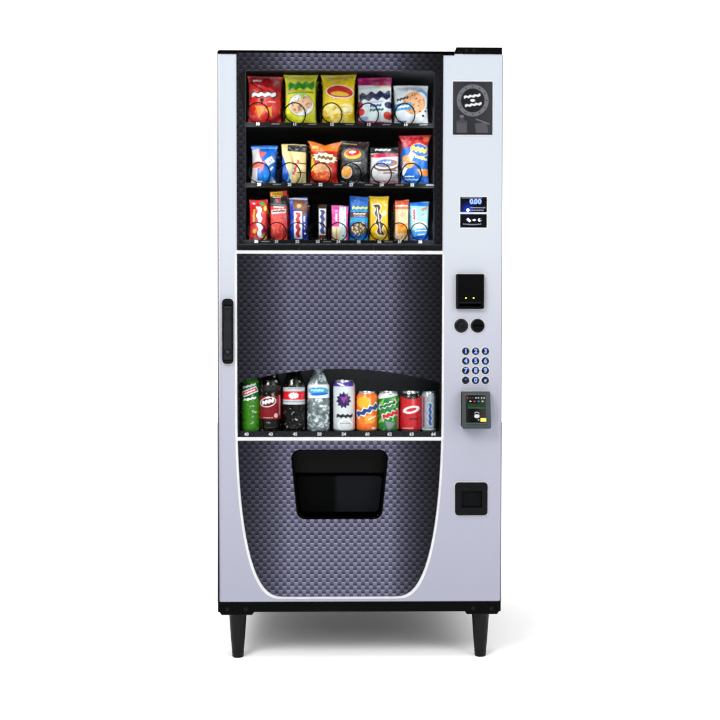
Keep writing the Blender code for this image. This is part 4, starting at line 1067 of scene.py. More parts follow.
def can_profile(height, radius):
    """A drinks can: stacking foot, straight wall, necked top and recessed lid."""
    lower = [(0.0, 0.008), (0.55, 0.006), (0.70, 0.0), (0.76, 0.0), (0.97, 0.008), (1.0, 0.012)]
    upper = [(1.0, 0.018), (0.975, 0.0145), (0.83, 0.0050), (0.805, 0.0030), (0.82, 0.0014), (0.815, 0.0)]
    upper += [(0.79, 0.0004), (0.76, 0.006), (0.57, 0.0058), (0.0, 0.0058)]
    points = [(radius * share, up) for share, up in lower]
    points.append((radius, height * 0.5))
    points += [(radius * share, height - down) for share, down in upper]
    return points[::-1]


def drink_look(name, centre, base, radius, height, colour, shapes, roughness=0.16, cap=None, lid=False):
    """A bottle's or can's printed skin, with its cap's colour or its bare metal ends."""
    look = Look(name, colour, roughness, specular=0.6)
    look.begin_print(centre, base, radius, height, colour)
    for entry in shapes:
        look.shape(*entry)
    _, _, up = look.axes()
    rise = look.math("SUBTRACT", up, base)
    if cap:
        look.ink = look.blend(look.math("GREATER_THAN", rise, height * 0.915), look.ink, cap)
    if lid:
        metal = look.math("GREATER_THAN", rise, height - 0.0052)
        metal = look.math("MAXIMUM", metal, look.math("LESS_THAN", rise, 0.006))
        look.ink = look.blend(metal, look.ink, "#d6d8dc")
        look.set("Metallic", look.math("MULTIPLY", metal, 0.9))
    look.set("Roughness", look.span(look.noise(50.0, 2.0), 0.3, 0.7, roughness - 0.05, roughness + 0.1))
    look.bump(look.noise(30.0, 2.0), 0.0003)
    return look


def sparkle(look, scale, low, high, colour, amount):
    """Painted highlights: bright flecks standing in for light refracted in a liquid-filled bottle; with a dark
    colour they paint shade flecks instead.
    """
    fleck = look.noise(scale, 4.0, stretch=(1.0, 1.0, 0.7))
    look.ink = look.blend(look.span(fleck, low, high, 0.0, amount), look.ink, colour)


# number: kind, X, radius, height, base colour, cap colour, shapes
DRINKS = {
    40: ("bottle", -0.3320, 0.0290, 0.206, "#347a0e", GREEN, [
        ("box", 0, 0.60, 1.2, 0.84, "#105c2c"), ("wave", -0.05, 0.68, 0.7, 0.14, "#e6ece2", -16),
        ("box", 0.0, 0.595, 0.82, 0.30, WHITE, -22), ("box", 0.0, 0.595, 0.76, 0.20, "#d82c28", -22),
        ("wave", 0, 0.595, 0.6, 0.08, WHITE, -22), ("wave", 0, 0.49, 0.66, 0.12, "#e2e8e0", -10)]),
    43: ("bottle", -0.2716, 0.0335, 0.216, "#0e0707", DARK_RED, [
        ("box", 0, 0.345, 1.2, 1.02, "#801620"), ("oval", -0.16, 0.425, 0.74, 0.44, WHITE, -12),
        ("oval", -0.16, 0.425, 0.68, 0.38, "#741228", -12), ("wave", -0.16, 0.43, 0.56, 0.20, WHITE, -14),
        ("box", 0.86, 0.38, 0.05, 0.9, "#ce7878"), ("oval", 0.56, 0.235, 0.16, 0.20, "#e2b4b4"),
        ("wave", -0.15, 0.205, 0.44, 0.04, "#dca0a0")]),
    45: ("bottle", -0.1998, 0.0338, 0.216, "#0b0707", RED, [
        ("box", 0, 0.510, 1.2, 0.76, "#ccd0d5"), ("wave", 0.05, 0.61, 0.6, 0.04, "#788296"),
        ("box", 0, 0.515, 1.2, 0.38, "#d81c28"), ("burst", 0, 0.515, 0.42, 0.26, WHITE),
        ("box", 0, 0.430, 1.2, 0.05, "#969aa0")]),
    50: ("bottle", -0.1255, 0.0338, 0.205, "#707c80", WHITE, [
        ("box", 0, 0.605, 1.2, 0.60, WHITE), ("oval", 0, 0.61, 0.90, 0.36, "#46b4e2"),
        ("oval", 0.1, 0.565, 0.80, 0.14, "#186ece", -4), ("wave", -0.1, 0.62, 0.6, 0.12, "#c4e6f4")]),
    54: ("can", -0.0472, 0.0331, 0.157, "#d6d8de", None, [
        ("box", 0, 0.925, 1.2, 0.20, "#4c34a0"), ("oval", -0.3, 0.92, 0.4, 0.08, "#e2dcf4", 20),
        ("burst", -0.05, 0.62, 0.60, 0.66, "#2e1c54"), ("drop", -0.05, 0.62, 0.30, 0.30, "#9638b0"),
        ("wave", 0.04, 0.315, 0.74, 0.20, "#101014"), ("wave", 0.1, 0.225, 0.5, 0.05, "#ce6e6e"),
        ("wave", 0.1, 0.175, 0.5, 0.04, "#786e78"), ("ring", 0.1, 0.14, 0.7, 0.56, WHITE),
        ("box", 0.93, 0.5, 0.10, 3.6, "#e2beba")]),
    60: ("can", 0.0227, 0.0322, 0.1225, "#f07420", None, [
        ("oval", -0.3, 0.74, 0.66, 0.56, "#fab428"), ("oval", 0.25, 0.32, 0.50, 0.36, "#fab03c"),
        ("grains", 0, 0.30, 0.9, 0.6, "#fa9628"), ("wave", 0.0, 0.54, 1.1, 0.42, WHITE, -24),
        ("wave", 0.0, 0.54, 1.04, 0.28, "#1e428c", -24), ("box", 0.45, 0.36, 0.4, 0.05, WHITE, -24),
        ("grains", 0, 0.14, 1.0, 0.3, "#ec5424"), ("oval", 0.6, 0.10, 0.2, 0.14, "#fadcbe")]),
    62: ("can", 0.0878, 0.0324, 0.1225, "#227834", None, [
        ("box", -0.1, 0.93, 0.9, 0.26, "#dce0e2", -10), ("grains", 0, 0.5, 1.2, 2.0, "#78c45a", 30),
        ("wave", -0.1, 0.68, 0.86, 0.26, "#e2eee2", -20), ("wave", -0.1, 0.68, 0.78, 0.16, "#146438", -20),
        ("wave", 0.15, 0.44, 0.84, 0.36, "#e6ecec", -20), ("wave", 0.15, 0.44, 0.78, 0.25, "#ce2432", -20),
        ("drop", 0.05, 0.14, 0.50, 0.44, "#82888e", 10), ("box", 0.90, 0.3, 0.10, 0.9, "#d65a60")]),
    63: ("can", 0.1557, 0.0325, 0.1225, "#c41624", None, [
        ("oval", 0, 0.95, 0.98, 0.50, "#0c0a0c"), ("oval", 0, 0.66, 0.98, 0.50, "#ce1a2a"),
        ("oval", 0.0, 0.56, 0.80, 0.34, "#f0e8ea", -12), ("oval", 0.0, 0.56, 0.5, 0.16, "#ce1a2a", -12),
        ("wave", 0.2, 0.33, 0.40, 0.10, "#460a12"), ("wave", -0.3, 0.10, 0.5, 0.05, "#ecbebe")]),
    64: ("can", 0.2110, 0.0240, 0.1225, "#949ca4", None, [
        ("box", -0.70, 0.5, 0.12, 1.9, "#964660"), ("wave", 0.08, 0.44, 1.5, 0.34, "#c4cedc", 90),
        ("wave", 0.08, 0.44, 1.4, 0.24, "#224696", 90), ("box", 0.86, 0.5, 0.26, 2.6, "#3c4850"),
        ("box", 0, 0.06, 1.2, 0.12, "#dce0e4")]),
}
DRINK_Y = -0.355
DISPLAY_NUMBERS_Z = 0.6826
DISPLAY_NUMBERS_X = (-0.3400, -0.2673, -0.1945, -0.1218, -0.0485, 0.0221, 0.0889, 0.1553, 0.2209)


def add_drinks():
    """The sample bottles and cans on the display shelf, and their selection numbers."""
    for number, (kind, centre, radius, height, colour, cap, shapes) in DRINKS.items():
        base = SHELF_FLOOR + 0.0004
        shape = bmesh.new()
        if kind == "can":
            profile = can_profile(height, radius)
        else:
            profile = bottle_profile(height, radius, number in (40, 50))
        lathe(shape, profile, (centre, DRINK_Y, base), steps=44)
        name = "%s_%d" % (kind, number)
        rough = 0.26 if kind == "can" else 0.12
        look = drink_look(name, centre, base, radius, height, colour, shapes, rough, cap, kind == "can")
        # painted highlights on the bottles, and on the water bottle also dark flecks painted as shade
        if number == 50:
            sparkle(look, 60.0, 0.48, 0.60, "#ecf2f6", 0.9)
            sparkle(look, 90.0, 0.56, 0.62, "#3c464a", 0.7)
        elif kind == "bottle":
            sparkle(look, 70.0, 0.64, 0.72, "#dce2de", 0.7)
        if kind == "bottle":
            for entry in shapes:
                look.shape(*entry)
        look.end_print()
        slot = "can_metal" if kind == "can" else "bottle_plastic"
        piece(name, mesh_of(shape, 50), look, "door", slot)
    ink = moulded("strip_number_white", "#ecf0f4", 0.5)
    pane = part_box("display_window")[0].y
    places = zip(sorted(DRINKS), DISPLAY_NUMBERS_X)
    entries = [(str(number), across, DISPLAY_NUMBERS_Z, 0.0090) for number, across in places]
    digits = lettering(entries, pane - 0.0001, 0.0002, 0.0004)
    piece("display_numbers", digits, ink, "door", "label_strip")


# ---- the door's face ---------------------------------------------------------
def add_trims():
    """White lines on the door: two bars, a border round the panel and rims round the fittings."""
    white = moulded("trim_white", "#feffff", 0.4)
    front = PRINT - 0.0004
    bars = []
    for low, high in (WINDOW_BAR, DISPLAY_BAR):
        bars.append(((PANEL_LOW.x - 0.003, front, low), (PANEL_HIGH.x + 0.002, FACE - 0.0002, high)))
    piece("panel_bars", boxes(bars, 0.0004), white, "door", "panel_trim")
    strip = panel_edge() + panel_edge(0.0068)[::-1]
    border = plate([strip], FACE - 0.0008, FACE - 0.0001, 0.0001)
    piece("panel_border", border, white, "door", "panel_trim")
    halos = []
    rims = {"card_reader": 0.004, "bill_validator": 0.004, "coin_cup": 0.010, "handle_housing": 0.012}
    for node, radius in rims.items():
        low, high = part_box(node)
        corners = ((low.x, low.z), (high.x, high.z))
        outer = rounded(*grown(*corners, 0.0026), radius + 0.0026)
        halos.append([outer, rounded(*grown(*corners, 0.0002), radius)])
    for low_z, high_z in SCREENS_Z:
        corners = ((SCREENS_X[0], low_z), (SCREENS_X[1], high_z))
        halos.append([rounded(*grown(*corners, 0.0028), 0.003), rounded(*grown(*corners, 0.0003), 0.001)])
    for column in KEY_X:
        for row in KEY_Z:
            halos.append([circle((column, row), 0.0139), circle((column, row), 0.0118)])
    for column in COIN_HEADS_X:
        halos.append([circle((column, COIN_HEADS_Z), 0.0238), circle((column, COIN_HEADS_Z), 0.0214)])
    rim_mesh = merged(plate(outlines, FACE - 0.0004, FACE - 0.0001) for outlines in halos)
    piece("fitting_rims", rim_mesh, white, "door", "panel_trim")


def add_edge_cap(skin):
    """A black flange over the door's top, a thin one down its left side painted lighter towards the top as
    highlight, rounded edge strips in the door's paint, a near-white strip painted as the highlight on the left
    rounded edge, and a grey strip painted as the shaded side of the right edge.
    """
    black = moulded("edge_black", "#020203", 0.5, specular=0.02)
    left, top, right, foot = CABINET_LOW.x + 0.0002, 1.8262, 0.2800, DOOR_LOW.z + 0.001
    radius = 0.008
    inner_left, inner_top = DOOR_LOW.x - 0.0002, DOOR_HIGH.z + 0.0002
    under_cap = inner_top - 0.0044
    outline = [(right, top)]
    for index in range(9):
        turn = math.radians(90 + 90 * index / 8)
        outline.append((left + radius + radius * math.cos(turn), top - radius + radius * math.sin(turn)))
    cover = outline + [(left, inner_top - 0.0042), (right, inner_top - 0.0042)]
    cap = outline + [(left, inner_top), (right, inner_top)]
    flange = plate([cap], FACE - 0.0001, DOOR_HIGH.y, 0.0003)
    flange = merged((flange, plate([cover], FACE - 0.0016, FACE - 0.0002, 0.0003)))
    piece("door_edge_cap", flange, black, "door", "handle_plastic")
    # painted light: the black edge line turns grey towards the top, where light catches it
    painted_edge_light = moulded("edge_line", "#0a0a0c", 0.35)
    _, _, up = painted_edge_light.axes()
    shade = painted_edge_light.blend(painted_edge_light.span(up, 1.15, 1.50), "#020203", "#323336")
    painted_edge_light.set("Base Color", painted_edge_light.blend(painted_edge_light.span(up, 1.45, 1.78), shade, "#96979a"))
    line = ((left, FACE - 0.0014, foot), (inner_left, DOOR_HIGH.y, under_cap))
    piece("door_edge_line", boxes([line], 0.0002), painted_edge_light, "door", "handle_plastic")
    # painted highlight: a near-white strip standing for the light on the door's left rounded edge, painted
    # darker towards the foot
    bead = moulded("painted_edge_highlight", "#f0f3f8", 0.3)
    _, _, up = bead.axes()
    shade = bead.blend(bead.span(up, 0.25, 1.10), "#646670", "#f4f6fa")
    bead.set("Base Color", shade)
    low, high = (inner_left + 0.0003, FACE - 0.0013, foot), (DOOR_LOW.x + 0.0030, FACE - 0.0009, under_cap)
    piece("door_edge_highlight_strip", boxes([(low, high)], 0.0001), bead, "door", "panel_trim")
    bend, out = 0.0080, 0.0008
    for name, edge, side, reach in (("left", DOOR_LOW.x, 1, 0.0001), ("right", DOOR_HIGH.x, -1, 0.0010)):
        outer, inner = edge - side * reach, edge + side * 0.0083
        plan = [(outer, FACE + bend), (outer, FACE - out), (inner, FACE - out), (inner, FACE - 0.0001)]
        for step in range(7):
            turn = math.radians(15 * step)
            across = edge + side * (bend - (bend + 0.0001) * math.sin(turn))
            plan.append((across, FACE + bend - (bend + 0.0001) * math.cos(turn)))
        bar = upright(plan, foot, under_cap if side > 0 else inner_top - 0.0014)
        piece("door_edge_" + name, bar, skin, "door", "panel_trim")
    # painted shade: a grey strip standing for the shaded side of the door's right edge
    shaded = moulded("edge_return", "#707178", 0.4)
    low = (DOOR_HIGH.x + 0.0012, FACE - 0.0008, foot)
    high = (DOOR_HIGH.x + 0.0032, FACE + 0.0080, inner_top - 0.0014)
    piece("door_edge_return", boxes([(low, high)], 0.0003), shaded, "door", "panel_trim")


def panel_edge(outset=0.0):
    """The panel's lower outline from its left shoulder round the foot to its right shoulder."""
    top, curve_top, bottom = WINDOW_BAR[0], 0.784, PANEL_LOW.z
    half_foot = 0.165
    half = (PANEL_HIGH.x - PANEL_LOW.x) / 2 - 0.002
    right = [(PANEL_X + half + outset, top)]
    steps = 24
    for index in range(steps + 1):
        turn = math.pi / 2 * index / steps
        drop = math.sin(turn) ** (2 / 2.4)
        width = max(0.0, 1.0 - drop ** 2.4) ** (1 / 2.65)
        reach = half_foot + (half - half_foot) * width + outset
        right.append((PANEL_X + reach, curve_top - (curve_top - bottom + outset) * drop))
    left = [(2 * PANEL_X - across, up) for across, up in reversed(right)]
    return right + left


def add_window_parts():
    """Glass, its dark surround, the sill under it and the lamps beside it."""
    finish_node(glass_look("window_pane", 0.16), "window_glass")
    finish_node(glass_look("display_pane", 0.10), "display_window")
    bead = bare_metal("bead_metal", "#5c5e64", 0.45)
    inset = 0.0022
    left, right = WINDOW_LEFT + inset, WINDOW_RIGHT - inset
    bottom, top = WINDOW_BOTTOM + inset, WINDOW_TOP - inset
    y = FACE + 0.0008
    corners = [(left, y, bottom), (right, y, bottom), (right, y, top), (left, y, top)]
    piece("window_bead", tube(corners, 0.0011, closed=True), bead, "door", "liner")
    sill = moulded("sill_grey", "#18191b", 0.4)
    lighter = moulded("sill_edge", "#46484c", 0.4)
    sill_left, sill_width = PANEL_LOW.x + 0.004, PANEL_HIGH.x - PANEL_LOW.x - 0.008
    thirds = [sill_left + sill_width * share for share in (0, 0.30, 0.665, 1)]
    blocks = []
    lips = []
    for left, right in zip(thirds, thirds[1:]):
        blocks.append(((left + 0.0006, PRINT - 0.0022, 1.2330), (right - 0.0006, PRINT - 0.0001, 1.2484)))
        lips.append(((left + 0.0006, PRINT - 0.0030, 1.2486), (right - 0.0006, PRINT - 0.0001, 1.2504)))
    piece("window_sill", boxes(blocks, 0.0006), sill, "door", "liner")
    piece("sill_lip", boxes(lips, 0.0005), lighter, "door", "liner")
    lamp = lit_look("lamp_glow", "#fffcf4", 0.8)
    case = moulded("lamp_case", "#0a0a0c", 0.5)
    lamps = []
    cases = []
    for side, across in ((1, WINDOW_LEFT - 0.016), (-1, WINDOW_RIGHT + 0.017)):
        cases.append(((across - 0.006, -0.330, 1.262), (across + 0.006, -0.318, 1.772)))
        near, far = sorted((across + side * 0.0062, across + side * 0.0062 + side * 0.003))
        lamps.append(((near, -0.3275, 1.266), (far, -0.3205, 1.768)))
    piece("window_lamp_cases", boxes(cases, 0.001), case, "door", "liner")
    piece("window_lamps", boxes(lamps, 0.0008), lamp, "door", "lamp")
    for side, across in ((1, WINDOW_LEFT), (-1, WINDOW_RIGHT)):
        light = area_light("cabinet_light", (across - side * 0.004, -0.322, 1.51), (0.02, 0.50), 0.5)
        light.rotation_euler = (math.pi / 2, 0.0, math.radians(-40) * side)
        light.parent = frame["bodies"]["door"]


def add_display_light():
    """A lamp strip over the drinks, and soft front lights that reach only the goods behind the panes."""
    wall = bpy.data.collections.new("display_wall")
    wall.objects.link(bpy.data.objects["display_shelf"])
    strip = area_light("display_strip", (PANEL_X, -0.352, 0.884), (0.5, 0.02), 0.2)
    aim(strip, (PANEL_X, -0.30, 0.78))
    strip.parent = frame["bodies"]["door"]
    strip.light_linking.receiver_collection = wall
    goods = bpy.data.collections.new("goods")
    for item in bpy.context.scene.collection.objects:
        if item.name.startswith(("packs_", "can_", "bottle_", "display_shelf")):
            goods.objects.link(item)
    for place, power in (((-1.2, -2.6, 2.3), 37.0), ((0.9, -2.4, 1.4), 16.0)):
        light = area_light("goods_light", place, (0.9, 0.9), power)
        aim(light, (-0.07, -0.2, 1.3))
        light.light_linking.receiver_collection = goods


def area_light(name, place, size, power):
    """A rectangular light at a place, not aimed yet."""
    data = bpy.data.lights.new(name, "AREA")
    data.shape = "RECTANGLE"
    data.size, data.size_y = size
    data.energy = power
    item = bpy.data.objects.new(name, data)
    item.location = place
    bpy.context.scene.collection.objects.link(item)
    return item


def add_chute():
    """The delivery flap's finish, its left part painted darker than its right as shade, and the black rim
    round the chute.
    """
    look = leather_grain("flap_grain", "#141517", 0.42)
    across = look.axes()[0]
    # painted shade: the flap is painted near black left of the middle and lighter grey to the right, as the
    # light falls
    painted_flap_shade = look.span(across, PANEL_X - 0.018, PANEL_X - 0.004)
    look.set("Base Color", look.blend(painted_flap_shade, "#060708", "#1d1f23"))
    finish_node(look, "delivery_flap")
    outlines = []
    for lap, drop, radius in ((0.0062, 0.0034, 0.027), (-0.0006, -0.0006, 0.024)):
        foot, head = CHUTE_LOW - drop, CHUTE_HIGH + min(lap, 0.0008)
        bottom_half, top_half = CHUTE_BOTTOM_HALF + lap, CHUTE_TOP_HALF + lap
        corners = [(PANEL_X - bottom_half, foot), (PANEL_X + bottom_half, foot), (PANEL_X + top_half, head)]
        outlines.append(softened(corners + [(PANEL_X - top_half, head)], radius))
    rim = moulded("chute_rim_black", "#030304", 0.5, specular=0.03)
    piece("chute_rim", plate(outlines, PRINT - 0.0005, PRINT - 0.0001), rim, "door", "liner")


def add_gasket():
    """The ribbed magnetic gasket that closes the product side of the door on the cabinet."""
    rubber = moulded("gasket_black", "#242427", 0.6, 700.0, 0.0002)
    left, right, low, high = -0.404, 0.249, 0.392, 1.812
    ribs = []
    for inset, back in ((0.0, 0.0045), (0.005, 0.0060), (0.010, 0.0045)):
        outer = rounded(*grown((left, low), (right, high), -inset), 0.016)
        inner = rounded(*grown((left, low), (right, high), -inset - 0.0045), 0.012)
        ribs.append(plate([outer, inner], DOOR_HIGH.y + 0.0001, DOOR_HIGH.y + back, 0.0008))
    piece("door_gasket", merged(ribs), rubber, "door", "gasket_rubber")


def add_handle():
    """The handle's finishes, its lock and the lever's grip ribs."""
    finish_node(moulded("handle_black", "#1a1a1e", 0.42, 700.0, 0.00022), "handle_housing")
    finish_node(moulded("lever_black", "#2e2f32", 0.40, 700.0, 0.00022), "handle_lever")
    low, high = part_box("handle_lever")
    front = low.y
    middle = (low.x + high.x) / 2
    chrome = bare_metal("lock_steel", "#96989e", 0.22)
    dark = moulded("lock_dark", "#141416", 0.35)
    shape = bmesh.new()
    cap = [(0.0, 0.0020), (0.0052, 0.0020), (0.0056, 0.0016), (0.0056, 0.0002), (0.0, 0.0002)]
    lathe(shape, cap, (middle, front, LOCK_Z), "front", 36)
    piece("lock_cylinder", mesh_of(shape), chrome, "lever", "fastener_steel")
    shape = bmesh.new()
    ring = [(0.0058, 0.0002), (0.0058, 0.0026), (0.0066, 0.0030), (0.0086, 0.0024), (0.0090, 0.0002)]
    lathe(shape, ring[::-1], (middle, front, LOCK_Z), "front", 36)
    slot_low = (middle - 0.0006, front - 0.0024, LOCK_Z - 0.0030)
    add_box(shape, slot_low, (middle + 0.0006, front - 0.0018, LOCK_Z + 0.0030))
    piece("lock_bezel", mesh_of(shape), dark, "lever", "handle_plastic")
    ribs = []
    for across in (low.x + 0.0022, high.x - 0.0036):
        for step in range(7):
            up = 1.020 + 0.0042 * step
            ribs.append(((across, front - 0.0007, up), (across + 0.0014, front, up + 0.0022)))
    ribs.append(((low.x + 0.003, front - 0.0006, 1.0560), (high.x - 0.003, front + 0.0004, 1.0580)))
    piece("lever_ribs", boxes(ribs, 0.0003), dark, "lever", "handle_plastic")


KEY_X = [(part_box(name)[0].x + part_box(name)[1].x) / 2 for name in ("key_1", "key_2", "key_3")]
KEY_Z = [(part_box(name)[0].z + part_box(name)[1].z) / 2 for name in ("key_1", "key_4", "key_7", "key_0")]
KEY_LABELS = {"star": "*", "hash": "#"}


def add_keys():
    """A smooth cap and a lit label for each key."""
    cap = Look("key_navy", "#0a0d22", 0.22, specular=0.5)
    cap.bump(cap.noise(300.0, 2.0), 0.00008)
    cap.set("Roughness", cap.span(cap.noise(40.0, 2.0), 0.3, 0.7, 0.16, 0.32))
    ink = lit_look("key_number", "#84a2fa", 0.75)
    for tag in [str(digit) for digit in range(10)] + ["star", "hash"]:
        node = "key_" + tag
        low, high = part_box(node)
        place = ((low.x + high.x) / 2, FACE, (low.z + high.z) / 2)
        radius = (high.x - low.x) / 2
        proud = FACE - low.y
        profile = [(0.0, proud - 0.0002), (radius * 0.55, proud - 0.0001), (radius - 0.0018, proud - 0.0004)]
        profile += [(radius - 0.0006, proud - 0.0010), (radius, proud - 0.0022)]
        profile += [(radius, -0.0110), (0.0, -0.0110)]
        shape = bmesh.new()
        lathe(shape, profile, place, "front", 44)
        body = "button_" + tag
        piece("cap_" + tag, mesh_of(shape), cap, body, "key_plastic", node)
        size = 0.0128 if tag.isdigit() else 0.0070
        entry = (KEY_LABELS.get(tag, tag), place[0], place[2], size)
        label = lettering([entry], FACE - proud + 0.0001, 0.0002, 0.0007)
        piece("label_" + tag, label, ink, body, "lamp")


def add_screens():
    """Two smoked windows: a lit price above, and generic picture marks for how to pay below."""
    look = Look("smoked_screen", "#08090e", 0.12, specular=0.4)
    spot = look.mapped(look.place, (0.3215, 0, 1.3545), size=(0.0150, 1e6, 0.0150))
    reach = look.node("VectorMath", {0: spot}, output=1, operation="LENGTH")
    glow = look.math("POWER", look.span(reach, 0.0, 2.2, 1.0, 0.0), 2.5)
    upper = look.within((0.29, None, 1.345), (0.39, None, 1.40))
    glow = look.math("MULTIPLY", glow, look.math("MULTIPLY_ADD", upper, 0.8, 0.2))
    glow = look.math("MULTIPLY", glow, look.within((None, None, None), (None, FACE + 0.002, None)))
    look.set("Emission Color", "#143cdc")
    look.set("Emission Strength", look.math("MULTIPLY", glow, 1.3))
    look.set("Roughness", look.span(look.noise(70.0, 2.0), 0.3, 0.7, 0.08, 0.2))
    finish_node(look, "selection_display")
    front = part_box("selection_display")[0].y
    lit = lit_look("price_glow", "#8cacff", 0.95)
    price = (("0", 0.3325), (".", 0.3395), ("0", 0.3455), ("0", 0.3570))
    entries = [(digit, across, PRICE_Z, 0.0142) for digit, across in price]
    piece("price_digits", lettering(entries, front, 0.0002, 0.0008), lit, "door", "lamp")
    shape = bmesh.new()
    lathe(shape, [(0.0, 0.0012), (0.0026, 0.0009), (0.0040, 0.0)], (0.3219, front, 1.3544), "front", 24)
    bright = lit_look("status_lamp", "#c8deff", 5.0)
    piece("status_lamp", mesh_of(shape), bright, "door", "lamp")
    grey = lit_look("caption_marks", "#969cbe", 0.6)
    marks = []
    for up, start, count in ((1.3616, 0.3285, 9), (1.3541, 0.3285, 8)):
        for step in range(count):
            across = start + 0.0052 * step
            marks.append(((across, front - 0.0002, up - 0.0011), (across + 0.0040, front, up + 0.0011)))
    for step in range(12):
        across = 0.3030 + 0.0052 * step
        marks.append(((across, front - 0.0002, 1.3900), (across + 0.0040, front, 1.3918)))
    for step in range(11):
        across = 0.3080 + 0.0050 * step
        up = 1.3128 - 0.0016 * math.sin(math.pi * step / 10)
        marks.append(((across, front - 0.0002, up - 0.0011), (across + 0.0036, front, up + 0.0011)))
    piece("caption_bars", boxes(marks, 0.0), grey, "door", "lamp")
    icon = lit_look("pay_symbols", "#e2e6f4", 0.9)
    turn = math.radians(-42)
    card = []
    for x, z in rounded((-0.0062, -0.0034), (0.0062, 0.0034), 0.0012):
        across = 0.3245 + x * math.cos(turn) - z * math.sin(turn)
        card.append((across, 1.3245 + x * math.sin(turn) + z * math.cos(turn)))
    arrow = [(0.3360, 1.3232), (0.3408, 1.3232), (0.3408, 1.3208), (0.3462, 1.3248)]
    arrow += [(0.3408, 1.3288), (0.3408, 1.3264), (0.3360, 1.3264)]
    coin = [circle((0.3568, 1.3250), 0.0046, 24), circle((0.3586, 1.3256), 0.0026, 18)]
    icons = merged(plate(outlines, front - 0.0002, front) for outlines in ([card], [arrow], coin))
    piece("pay_icons", icons, icon, "door", "lamp")


def add_poster():
    """A small dark framed plate with a ring, two plain ribbons and generic pack outlines."""
    low, high = (0.2757, 1.5785), (0.3945, 1.7370)
    middle = ((low[0] + high[0]) / 2, (low[1] + high[1]) / 2)
    half = (high[0] - low[0]) / 2
    height = high[1] - low[1]
    look = Look("poster_print", "#2c2e34", 0.4, specular=0.3)
    look.begin_print(middle[0], low[1], half, height, "#2c2e34")
    grey = "#707078"
    for entry in (
        ("oval", 0.0, 0.645, 0.80, 0.80, grey), ("oval", 0.0, 0.645, 0.60, 0.60, "#16161a"),
        ("wave", -0.03, 0.725, 0.42, 0.075, WHITE, -8), ("oval", 0.0, 0.645, 0.12, 0.07, WHITE),
        ("wave", 0.03, 0.565, 0.42, 0.075, WHITE, -8),
        ("box", -0.55, 0.13, 0.26, 0.34, "#56545a"), ("drop", -0.55, 0.28, 0.26, 0.16, "#46464c", 180),
        ("box", -0.55, 0.345, 0.10, 0.06, grey), ("box", 0.45, 0.10, 0.30, 0.34, "#56545a", -8),
        ("box", 0.5, 0.25, 0.36, 0.03, grey, 20), ("box", 0.0, 0.0, 1.2, 0.10, "#1e1e24"),
    ):
        look.shape(*entry)
    for index in range(12):
        angle = 2 * math.pi * index / 12
        up = 0.645 + 0.70 * math.sin(angle) / look.tall
        look.shape("oval", 0.70 * math.cos(angle), up, 0.035, 0.035, "#28282e")
    look.end_print()
    look.bump(look.noise(500.0, 1.0), 0.00005)
    board = plate([rounded(low, high, 0.0015)], FACE - 0.0016, FACE - 0.0002, 0.0003)
    piece("poster_plate", board, look, "door", "poster_plate")
    white = moulded("poster_rim_white", "#eef1f8", 0.4)
    outline = [rounded(*grown(low, high, 0.0030), 0.003), rounded(*grown(low, high, 0.0002), 0.0015)]
    piece("poster_rim", plate(outline, FACE - 0.0012, FACE - 0.0002, 0.0002), white, "door", "panel_trim")


def add_payment_parts():
    """The note validator's lamps and ribs, the coin heads' rings, the return button and the coin cup."""
    finish_node(moulded("validator_black", "#09090b", 0.42), "bill_validator")
    low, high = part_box("bill_validator")
    front = low.y
    green = lit_look("note_lamp", "#bee63c", 2.4)
    shape = bmesh.new()
    for across in (0.3155, 0.3385):
        lathe(shape, [(0.0, 0.0009), (0.0012, 0.0007), (0.0019, 0.0)], (across, front, 1.0912), "front", 20)
    piece("note_lamps", mesh_of(shape), green, "door", "lamp")
    # painted highlight: a lighter strip down the validator's left edge, where the light catches its frame; the
    # ribs use the same grey
    lighter = moulded("validator_edge", "#28292c", 0.4)
    outline = rounded((low.x + 0.002, low.z + 0.002), (low.x + 0.0048, high.z - 0.002), 0.001)
    edge = plate([outline], front - 0.0006, front, 0.0002)
    piece("validator_edge", edge, lighter, "door", "validator_plastic")
    bars = []
    for step in range(9):
        across = low.x + 0.013 + 0.0072 * step
        bars.append(((across, front - 0.0006, 1.0640), (across + 0.0016, front, 1.0655)))
    bars.append(((low.x + 0.008, front - 0.0014, 1.0760), (high.x - 0.008, front, 1.0785)))
    piece("validator_ribs", boxes(bars, 0.0004), lighter, "door", "validator_plastic")
    coin = moulded("coin_black", "#0a0a0c", 0.22, specular=0.3)
    finish_node(coin, "coin_mechanism")
    low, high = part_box("coin_return_button")
    place = ((low.x + high.x) / 2, low.y, (low.z + high.z) / 2)
    radius = (high.x - low.x) / 2
    profile = [(0.0, -0.0012), (radius * 0.6, -0.0008), (radius - 0.0024, -0.0002)]
    profile += [(radius - 0.0008, -0.0006), (radius, -0.0020)]
    profile += [(radius, low.y - high.y), (0.0, low.y - high.y)]
    shape = bmesh.new()
    lathe(shape, profile, place, "front", 44)
    gloss = moulded("button_black", "#101012", 0.2, specular=0.6)
    piece("return_button_cap", mesh_of(shape), gloss, "return_button", "coin_plastic", "coin_return_button")
    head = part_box("coin_mechanism")[0].y
    shape = bmesh.new()
    for across, inner in zip(COIN_HEADS_X, (0.0150, 0.0172)):
        ring = [(inner, -0.0006), (inner + 0.0006, 0.0006), (0.0206, -0.0010), (0.0213, -0.0040)]
        lathe(shape, ring[::-1], (across, head, COIN_HEADS_Z), "front", 48)
    ring_look = moulded("coin_ring", "#222326", 0.3, specular=0.3)
    piece("coin_head_rings", mesh_of(shape), ring_look, "door", "coin_plastic")
    finish_node(moulded("cup_black", "#0e0f11", 0.3, specular=0.2), "coin_cup")
    finish_node(moulded("cup_flap_black", "#141517", 0.34), "coin_cup_flap")


